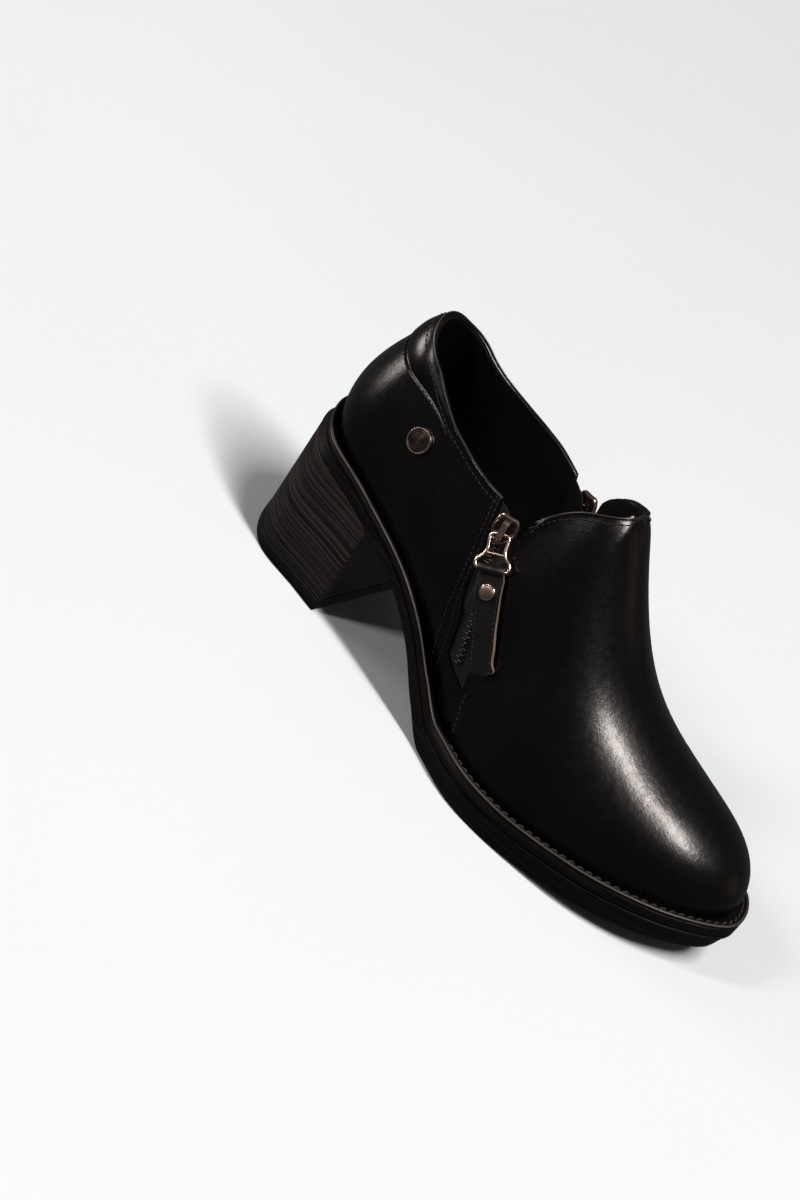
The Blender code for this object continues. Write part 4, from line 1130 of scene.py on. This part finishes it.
STRIP_HALF = 0.42 * MM
SLIDER_LEVELS = (
    # height, scale
    (0.00, 0.90),
    (0.10, 0.97),
    (0.34, 1.00),
    (0.40, 0.93),
    (0.58, 0.93),
    (0.64, 1.00),
    (0.88, 0.99),
    (1.00, 0.92),
    (1.00, 0.86),
    (0.90, 0.80),
)


def slider_outline():
    """Shield with round shoulders and a notch behind, as points down and across."""
    outline = []
    for t in turns(48):
        u = -math.cos(t)
        taper = 1.0 - 0.34 * max(u, 0.0) ** 1.2
        edge = abs(math.sin(t)) ** 0.5 * (1 if math.sin(t) >= 0 else -1)
        notch = 0.10 * math.exp(-(math.sin(t) / 0.30) ** 2) if u < 0 else 0.0
        outline.append((0.5 * SLIDER_LENGTH * (u + notch), 0.5 * SLIDER_WIDTH * taper * edge))
    return outline


def make_slider(suffix, side, mats):
    """Body of two plates with a slit between them, plated bright round its edge."""
    point, down, across, normal = pull_frame(side)
    outline = slider_outline()
    verts = []
    for height, scale in SLIDER_LEVELS:
        lift = normal * (SLIDER_BASE + SLIDER_THICKNESS * height)
        for u, w in outline:
            verts.append(point + down * u * scale + across * w * scale + lift)
    faces = ring_faces(len(SLIDER_LEVELS), len(outline), capped=True)
    body = mesh_object("slider_" + suffix + "_body", (verts, faces), mats["dark_nickel"],
                       ("slider_" + suffix,), 35.0)

    def on_rim(centre, facing):
        height = (centre - point).dot(normal)
        return abs(facing.dot(normal)) < 0.97 or height < SLIDER_BASE + 0.5 * SLIDER_THICKNESS

    paint(body, mats["nickel"], on_rim)
    make_bridge(suffix, side, mats)


def make_bridge(suffix, side, mats):
    """Flat strip bent over the slider, which the link hangs on."""
    point, down, across, normal = pull_frame(side)
    rise = WIRE_DIAMETER + 2 * WIRE_PLAY + STRIP_HALF
    sunk = 0.5 * MM
    path = []
    for t in np.linspace(0, math.pi, 30):
        u = -0.5 * (BRIDGE_LENGTH - BRIDGE_BAR) * np.sign(math.cos(t)) * abs(math.cos(t)) ** 0.4
        height = (rise + sunk) * math.sin(t) ** 0.4 - sunk
        path.append(point + down * u + normal * (SLIDER_BASE + SLIDER_THICKNESS + height))
    outs = unit(np.cross(across, unit(np.gradient(np.array(path), axis=0))))
    outs = outs * np.sign(outs[len(outs) // 2].dot(normal))
    rows = [(spot, across, out, STRIP_HALF, BRIDGE_WIDTH) for spot, out in zip(path, outs)]
    mesh_object("slider_" + suffix + "_bridge", ribbon(rows), mats["nickel"], smooth_deg=35.0)


def round_corners(corners, radius, steps):
    """Closed line through the corners, each rounded by a curve."""
    path = []
    count = len(corners)
    for i in range(count):
        here = corners[i]
        before = unit(corners[i - 1] - here)
        after = unit(corners[(i + 1) % count] - here)
        back = min(radius, 0.45 * np.linalg.norm(corners[i - 1] - here),
                   0.45 * np.linalg.norm(corners[(i + 1) % count] - here))
        for t in np.linspace(0, 1, steps + 1):
            path.append(here + before * back * (1 - t) ** 2 + after * back * t * t)
    return np.array(path)


def make_link(suffix, mats, axes):
    """Bell shaped loop of wire with a bar across it."""
    hinge, bar, down, across, normal = axes
    length = np.linalg.norm(bar - hinge)
    neck, bell = 0.5 * LINK_NECK_WIDTH, 0.5 * LINK_BELL_WIDTH
    bar_at = LINK_BAR_SHARE * length
    right = ((0.0, neck), (bar_at, 0.86 * neck), (0.80 * length, bell), (length, 0.97 * bell))
    corners = [hinge + down * u + across * w for u, w in right]
    corners += [hinge + down * u - across * w for u, w in reversed(right)]
    wire = round_corners(corners, LINK_CORNER, 8)
    radius = 0.5 * WIRE_DIAMETER
    loop = tube(wire, np.tile(normal, (len(wire), 1)), radius, radius, 14, True)
    ends = np.array([hinge + down * bar_at + across * w for w in np.linspace(-0.84 * neck, 0.84 * neck, 5)])
    cross = tube(ends, np.tile(normal, (5, 1)), 0.84 * radius, 0.84 * radius, 12)
    mesh_object("link_" + suffix + "_wire", join_parts([loop, cross]), mats["nickel"],
                ("link_" + suffix,), 60.0, "pull_" + suffix)


def tab_station(path, across, u):
    """Underside, side and normal of the tab at a distance below the link's bar."""
    foot, heading, away = on_path(path, LINK_LENGTH + u)
    askew = max(1 - u / TAB_TWIST_LENGTH, 0.0)
    beside = unit(np.cross(away, heading) * (1 - askew) + across * askew)
    low = foot + away * tab_lift(beside, away)
    return low, beside, unit(np.cross(heading, beside))


def tab_fold(axes):
    """Rows of the loop round the link's bar."""
    bar, down, across, normal = axes[1:]
    bend = FOLD_RADIUS - 0.5 * FOLD_LEATHER
    rows = []
    for t in np.linspace(math.radians(150), math.radians(-150), 22):
        spot = bar - down * bend * math.cos(t) + normal * bend * math.sin(t)
        rows.append((spot, across, unit(spot - bar), 0.5 * FOLD_LEATHER, TAB_WIDTH))
    return rows


def tab_strip(path, across):
    """Rows of the two layers below the bar, with round corners at the free end."""
    rows = []
    half = 0.5 * TAB_THICKNESS
    for i in range(41):
        u = 0.6 * FOLD_RADIUS + (TAB_LENGTH - 1.6 * FOLD_RADIUS) * i / 40
        low, beside, out = tab_station(path, across, u)
        cut = max(TAB_CORNER - (TAB_LENGTH - FOLD_RADIUS - u), 0.0)
        width = TAB_WIDTH - 2 * (TAB_CORNER - math.sqrt(max(TAB_CORNER ** 2 - cut ** 2, 0.0)))
        neck = 0.94 if i < 2 else 1.0
        rows.append((low + out * half, beside, out, half, width * neck))
    return rows


def make_tab(suffix, mats, path, axes):
    """Folded leather strip with a pale cut edge and a row of stitches along each side."""
    across = axes[3]
    fold, strip = tab_fold(axes), tab_strip(path, across)
    body = "pull_" + suffix
    tab = mesh_object("tab_" + suffix + "_strip", join_parts([ribbon(fold), ribbon(strip)]), mats["pull"],
                      ("tab_" + suffix,), 50.0, body)

    def on_cut_edge(centre, facing):
        nearest = min(strip + fold, key=lambda row: np.sum((row[0] - centre) ** 2))
        return abs(facing.dot(nearest[1])) > 0.8

    paint(tab, mats["edge"], on_cut_edge)
    rows = [tab_station(path, across, u) for u in np.linspace(3.2 * MM, TAB_LENGTH - 3.4 * MM, 40)]
    outs = np.array([out for low, beside, out in rows])
    parts = []
    for share in (-0.5, 0.5):
        shift = share * (TAB_WIDTH - 2.4 * MM)
        points = [low + out * (TAB_THICKNESS + 0.05 * MM) + beside * shift for low, beside, out in rows]
        parts.append(stitches(np.array(points), outs, 2.2 * MM, 1.5 * MM, 0.18 * MM))
    mesh_object("tab_" + suffix + "_stitches", join_parts(parts), mats["thread"],
                smooth_deg=70.0, body=body)


RIBBON_PROFILE = ((-0.5, -0.6), (-0.485, -1.0), (0.485, -1.0), (0.5, -0.6), (0.5, 0.6), (0.485, 1.0),
                  (-0.485, 1.0), (-0.5, 0.6))


def ribbon(rows):
    """Strip with slightly round edges from rows of centre, side, normal, half thickness and width."""
    verts = []
    for centre, beside, out, half, width in rows:
        for w, h in RIBBON_PROFILE:
            verts.append(centre + beside * w * width + out * h * half)
    return verts, ring_faces(len(rows), len(RIBBON_PROFILE), capped=True)


def lathe(centre, axis, rings, sides=48):
    """Turned form on an axis, from rows of radius and height."""
    first = unit(np.cross(axis, np.array((1.0, 0.2, 0.1))))
    second = np.cross(axis, first)
    verts = []
    for radius, height in rings:
        for angle in turns(sides):
            round_way = first * math.cos(angle) + second * math.sin(angle)
            verts.append(centre + axis * height + radius * round_way)
    return verts, ring_faces(len(rings), sides, capped=True)


def off_axis(spot, axis, centre):
    """Distance of a point from the axis through a centre."""
    away = centre - spot
    return np.linalg.norm(away - axis * away.dot(axis))


def make_rivet(suffix, mats, path, axes):
    """Rivet head: a rim and a domed face of a darker plate."""
    low, beside, out = tab_station(path, axes[3], RIVET_FROM_BAR)
    rim = ((0.92, -0.20), (0.97, 0.05), (1.0, 0.3), (0.985, 0.55), (0.94, 0.7), (0.86, 0.74), (0.80, 0.70))
    dome = [(0.78 * math.cos(t), 0.70 + 0.25 * math.sin(t)) for t in np.linspace(0.1, 1.5, 10)]
    radius = 0.5 * RIVET_DIAMETER
    rings = [(share * radius, height * RIVET_HEIGHT) for share, height in list(rim) + dome]
    head = lathe(low + out * (TAB_THICKNESS + 0.3 * MM), out, rings)
    rivet = mesh_object("rivet_" + suffix + "_head", head, mats["nickel"], ("rivet_" + suffix,),
                        50.0, "pull_" + suffix)
    paint(rivet, mats["rivet_face"], lambda centre, facing: off_axis(low, out, centre) < 0.80 * radius)


def make_badge(mats):
    """Plain round stud: a rim and a shallow dished middle with turned rings."""
    point, normal = surface(-1, x_at(BADGE_ALONG), BADGE_SHARE)
    spot, out = point[0], normal[0]
    rim = ((0.93, -0.2), (0.98, 0.0), (1.0, 0.35), (0.99, 0.75), (0.95, 0.95), (0.90, 1.0), (0.85, 0.96),
           (0.82, 0.78))
    dish = [(t, 0.76 + 0.10 * (1 - t) + 0.03 * math.sin(t * 38)) for t in np.linspace(0.78, 0.06, 24)]
    radius = 0.5 * BADGE_DIAMETER
    rings = [(share * radius, height * BADGE_HEIGHT) for share, height in list(rim) + dish]
    badge = mesh_object("badge_stud", lathe(spot + out * CLEARANCE, out, rings, 64), mats["dark_nickel"],
                        ("badge",), 40.0)
    paint(badge, mats["nickel"], lambda centre, facing: off_axis(spot, out, centre) > 0.84 * radius)


def ring_columns(columns, fan_steps, heel_only=False):
    """Centres and directions round the sole: lateral side, toe, medial side, back."""
    feet = x_at(FOOT_OF(columns))
    centres = np.column_stack((feet, middle(feet)))
    down = np.tile((0.0, -1.0), (len(feet), 1))
    angles = [np.radians(start + 180 * np.arange(1, fan_steps) / fan_steps) for start in (-90, 90)]
    fans = [np.column_stack((np.cos(a), np.sin(a))) for a in angles]
    toe = [] if heel_only else [np.tile(TOE_CENTRE, (fan_steps - 1, 1))]
    toe_directions = [] if heel_only else [fans[0]]
    centre = np.vstack([centres] + toe + [centres[::-1], np.tile(HEEL_CENTRE, (fan_steps - 1, 1))])
    direction = np.vstack([down] + toe_directions + [-down, fans[1]])
    return centre, direction


def cap_faces(first, verts, height, count, fan_steps, heel_only):
    """Faces over one ring, fanned from the heel's centre and the toe's, whose points are added."""
    toe_turns = 0 if heel_only else fan_steps - 1
    total = 2 * count + toe_turns + fan_steps - 1
    faces = []
    for k in range(count - 1):
        mirror = 2 * count + toe_turns - 1 - k
        faces.append((first + k, first + k + 1, first + mirror - 1, first + mirror))
    heel = len(verts)
    verts.append((HEEL_CENTRE[0], HEEL_CENTRE[1], float(height(HEEL_CENTRE[0]))))
    back = list(range(2 * count + toe_turns - 1, total)) + [0]
    faces += [(heel, first + a, first + b) for a, b in zip(back, back[1:])]
    faces.append((heel, first + back[-1], first + back[0]))
    if not heel_only:
        toe = len(verts)
        verts.append((TOE_CENTRE[0], TOE_CENTRE[1], float(height(TOE_CENTRE[0]))))
        faces += [(toe, first + a, first + a + 1) for a in range(count - 1, count + toe_turns)]
        faces.append((toe, first + count + toe_turns, first + count - 1))
    return faces


def stacked(layers, columns, fan_steps, heel_only=False, ring=False):
    """Rings one on another, each an inset and a height; closed by caps, or into a ring."""
    centre, direction = ring_columns(columns, fan_steps, heel_only)
    count = len(centre)
    verts = []
    for inset, height in layers:
        outline = inset_outline(inset)
        plan = centre + direction * reach(outline, centre, direction)[:, None]
        verts += list(np.column_stack((plan, height(plan[:, 0]) + np.zeros(count))))
    faces = ring_faces(len(layers), count, ring)
    if not ring:
        last = (len(layers) - 1) * count
        for first, height in ((0, layers[0][1]), (last, layers[-1][1])):
            faces += cap_faces(first, verts, height, len(columns), fan_steps, heel_only)
    return verts, faces


def level(inset, height, rise=0.0):
    """One ring from an inset and a height that may be numbers or functions of x."""
    def inset_at(x):
        return inset(x) if callable(inset) else inset + 0 * x

    def height_at(x):
        return height(x) + rise if callable(height) else height + 0 * x

    return inset_at, height_at


SOLE_COLUMNS = np.linspace(0, LAST, 105)
FAN_STEPS = 44


def make_welt(mats):
    """Upper layer of the sole edge with a thin bead round its rim and a channel inside it; the bead's upward
    faces get a lighter rubber as a painted highlight.
    """
    bead = 0.5 * BEAD_WIDTH
    floor = 0.35 * MM
    layers = [level(GROOVE_WIDTH + 9 * MM, sole_split),
              level(GROOVE_WIDTH, sole_split),
              level(0.35 * GROOVE_WIDTH, sole_split, 0.35 * GROOVE_WIDTH),
              level(0.1 * GROOVE_WIDTH, sole_split, 0.9 * GROOVE_WIDTH),
              level(0.02 * MM, sole_top, -1.9 * MM),
              level(0.38 * MM, sole_top, -1.5 * MM),
              level(0.38 * MM, sole_top, -1.35 * MM)]
    for t in np.linspace(-0.5, math.pi + 0.2, 11):
        layers.append(level(bead - bead * math.cos(t), sole_top, -bead + bead * math.sin(t)))
    layers += [level(BEAD_WIDTH + 0.25 * MM, seat, floor + 0.1 * MM),
               level(BEAD_WIDTH + 0.5 * MM, seat, floor),
               level(FEATHER_INSET_HEEL - 0.6 * MM, seat, floor),
               level(FEATHER_INSET_HEEL, seat),
               level(RIM_WIDTH + 7 * MM, seat),
               level(GROOVE_WIDTH + 9 * MM, seat, -0.6 * MM)]
    welt = mesh_object("welt_edge", stacked(layers, SOLE_COLUMNS, FAN_STEPS, ring=True), mats["rubber"],
                       ("welt",), 45.0)
    # Painted highlight: the upward faces on top of the bead get the lighter rubber.
    paint(welt, mats["bead"], lambda centre, facing: (
        facing[2] > 0.3 and centre[2] > sole_top(centre[0]) - 0.55 * MM))


def make_welt_stitches(mats):
    """Short stitches in the channel beside the upper, round the forefoot."""
    count, toe_steps = 120, 60
    centre, direction = ring_columns(np.linspace(VAMP_EDGE + 0.5, LAST, count), toe_steps)
    outline = inset_outline(lambda x: BEAD_WIDTH + 1.25 * MM + 0 * x)
    half = 2 * count + toe_steps - 1
    plan = centre[:half] + direction[:half] * reach(outline, centre[:half], direction[:half])[:, None]
    path = np.column_stack((plan, seat(plan[:, 0]) + 0.95 * MM))
    up = np.tile((0.0, 0.0, 1.0), (half, 1))
    mesh_object("welt_stitches", stitches(path, up, 3.9 * MM, 2.3 * MM, 0.42 * MM, tilt=0.30),
                mats["welt_thread"], smooth_deg=70.0)


def make_outsole(mats):
    """Lower layer: chamfered tread, undercut side and a groove under the welt."""
    def bulge(share):
        return lambda x: GROOVE_WIDTH * (1 - share) * 0.5 + undercut(x) * share

    def height(share, rise=0.0):
        top = -CLEARANCE
        return lambda x: sole_split(x) + top + rise - (sole_split(x) + top - sole_bottom(x)) * share

    layers = [level(lambda x: undercut(x) + 1.6 * TREAD_CHAMFER, sole_bottom),
              level(lambda x: undercut(x) + TREAD_CHAMFER, sole_bottom),
              level(lambda x: undercut(x) + 0.3 * TREAD_CHAMFER, sole_bottom, 0.3 * TREAD_CHAMFER),
              level(undercut, sole_bottom, TREAD_CHAMFER),
              level(bulge(0.7), height(0.62)), level(bulge(0.35), height(0.3)),
              level(0.15 * MM, height(0.0, -0.9 * MM)), level(0.3 * MM, height(0.0, -0.35 * MM)),
              level(GROOVE_WIDTH, height(0.0))]
    mesh_object("outsole_body", stacked(layers, SOLE_COLUMNS, FAN_STEPS), mats["rubber"],
                ("outsole",), 35.0)


def make_heel(mats):
    """Stacked block and the lift under it, both with small round edges."""
    columns = np.linspace(0, BREAST_COLUMN, 9)

    def foot_inset(x):
        return HEEL_TAPER + 0.5 * (undercut(x) - SIDE_UNDERCUT)

    def head_inset(x):
        return undercut(x) + HEEL_INSET_TOP

    def between(share):
        return lambda x: foot_inset(x) * (1 - share) + head_inset(x) * share

    def rise(share):
        low = TOP_LIFT_HEIGHT + 0.5 * CLEARANCE
        return lambda x: low + (sole_bottom(x) - 0.5 * CLEARANCE - low) * share

    layers = [level(between(share), rise(share)) for share in np.linspace(0, 1, 13)]
    block = mesh_object("heel_stack", stacked(layers, columns, FAN_STEPS, heel_only=True), mats["stack"],
                        ("heel_block",))
    step = TOP_LIFT_STEP
    layers = [level(lambda x: foot_inset(x) + step, 0.0),
              level(lambda x: foot_inset(x) - 0.6 * step, 0.3 * MM),
              level(lambda x: foot_inset(x) - step, 0.8 * MM),
              level(lambda x: foot_inset(x) - step, TOP_LIFT_HEIGHT - 0.5 * MM),
              level(lambda x: foot_inset(x) - 0.5 * step, TOP_LIFT_HEIGHT)]
    lift = mesh_object("heel_lift", stacked(layers, columns, FAN_STEPS, heel_only=True), mats["rubber"],
                       ("top_lift",))
    for obj in (block, lift):
        add_modifier(obj, "corners", "BEVEL", width=0.35 * MM, segments=2, limit_method="ANGLE",
                     angle_limit=math.radians(50))


def make_insole(mats):
    """Sock with a round edge, on the whole length of the shoe."""
    def edge(x):
        return feather_inset(x) + WALL + 2 * CLEARANCE

    layers = [level(edge, seat, CLEARANCE),
              level(edge, seat, CLEARANCE + 0.7 * INSOLE_THICKNESS),
              level(lambda x: edge(x) + 0.4 * MM, seat, CLEARANCE + 0.93 * INSOLE_THICKNESS),
              level(lambda x: edge(x) + 1.2 * MM, seat, CLEARANCE + INSOLE_THICKNESS)]
    mesh_object("sock", stacked(layers, SOLE_COLUMNS, 32), mats["sock"], ("insole",), 50.0)


def make_pull(suffix, side, mats):
    path = hang_path(side)
    axes = pull_axes(side, path)
    make_slider(suffix, side, mats)
    make_link(suffix, mats, axes)
    make_tab(suffix, mats, path, axes)
    make_rivet(suffix, mats, path, axes)


def make_shoe():
    mats = make_materials()
    make_vamp(mats)
    make_quarters(mats)
    make_lining(mats)
    make_binding(mats)
    make_stitching(mats)
    for suffix, side in (("lateral", -1), ("medial", 1)):
        make_zip(suffix, side, mats)
        make_pull(suffix, side, mats)
    make_badge(mats)
    make_welt(mats)
    make_welt_stitches(mats)
    make_outsole(mats)
    make_heel(mats)
    make_insole(mats)


# The photograph's camera in the shoe's frame, in metres
CAMERA_PLACE = (0.50663, -1.12861, 0.75750)
CAMERA_RIGHT = (0.628, 0.594, 0.503)
CAMERA_UP = (-0.705, 0.160, 0.691)
LENS_MM = 108.0
SENSOR_MM = 36.0


def matrix_of(right, up, back, spot):
    """World matrix from three axes and a place."""
    return Matrix([[right[i], up[i], back[i], spot[i]] for i in range(3)] + [[0, 0, 0, 1]])


def make_camera():
    right = np.array(CAMERA_RIGHT) / np.linalg.norm(CAMERA_RIGHT)
    up = np.array(CAMERA_UP)
    up = up - right * up.dot(right)
    up /= np.linalg.norm(up)
    data = bpy.data.cameras.new("camera")
    data.lens = LENS_MM
    data.sensor_width = SENSOR_MM
    camera = bpy.data.objects.new("camera", data)
    camera.matrix_world = matrix_of(right, up, np.cross(right, up), CAMERA_PLACE)
    bpy.context.scene.collection.objects.link(camera)
    bpy.context.scene.camera = camera


WARM = (1.0, 0.92, 0.87)
AMBER = (1.0, 0.72, 0.55)
LIGHTS = (
    # name, direction from the shoe, distance, width, height, watts, colour
    ("key", (0.38, -0.12, 0.92), 4.6, 0.42, 2.10, 272.0, WARM),
    ("collar", (-0.42, -0.66, 0.62), 5.2, 0.64, 1.20, 80.0, WARM),
    ("heel", (-0.92, -0.34, 0.14), 4.4, 1.84, 1.04, 96.0, WARM),
    ("rim", (0.80, 0.55, 0.22), 4.8, 2.00, 2.00, 3.0, AMBER),
)
SHOE_MIDDLE = np.array((0.08, 0.0, 0.05))
WORLD_STRENGTH = 0.08
FLOOR_REACH = 60.0
FLOOR_DIM = (0.62, 0.68, 0.72)
FLOOR_PALE = (0.64, 0.70, 0.74)


def make_light(name, direction, distance, width, height, watts, colour):
    """Panel light at a distance from the shoe, turned to it."""
    data = bpy.data.lights.new(name, "AREA")
    data.shape = "RECTANGLE"
    data.size = width
    data.size_y = height
    data.energy = watts
    data.color = colour
    light = bpy.data.objects.new(name, data)
    away = np.array(direction) / np.linalg.norm(direction)
    spot = SHOE_MIDDLE + away * distance
    side = np.cross((0, 0, 1), away)
    side /= np.linalg.norm(side)
    light.matrix_world = matrix_of(side, np.cross(away, side), away, spot)
    light.visible_camera = False
    bpy.context.scene.collection.objects.link(light)


def make_lights():
    for row in LIGHTS:
        make_light(*row)


def make_floor():
    """Plain pale floor, which the gloss of the leather does not mirror."""
    material, tree, shader = principled("floor", FLOOR_PALE, 0.7, specular=0.1)
    tone = noise(tree, texture_space(tree), 3.0, 2.0)
    tree.links.new(ramp(tree, tone, (0.3, FLOOR_DIM), (0.7, FLOOR_PALE)), shader.inputs["Base Color"])
    mesh = bpy.data.meshes.new("floor")
    r = FLOOR_REACH
    mesh.from_pydata([(-r, -r, 0), (r, -r, 0), (r, r, 0), (-r, r, 0)], [], [(0, 1, 2, 3)])
    mesh.materials.append(material)
    floor = bpy.data.objects.new("floor", mesh)
    bpy.context.scene.collection.objects.link(floor)
    floor.visible_glossy = False


def make_world():
    world = bpy.data.worlds.new("studio")
    world.use_nodes = True
    background = world.node_tree.nodes["Background"]
    background.inputs["Color"].default_value = (1, 1, 1, 1)
    background.inputs["Strength"].default_value = WORLD_STRENGTH
    bpy.context.scene.world = world
    bpy.context.scene.view_settings.view_transform = "Standard"


make_shoe()
make_camera()
make_lights()
make_floor()
make_world()
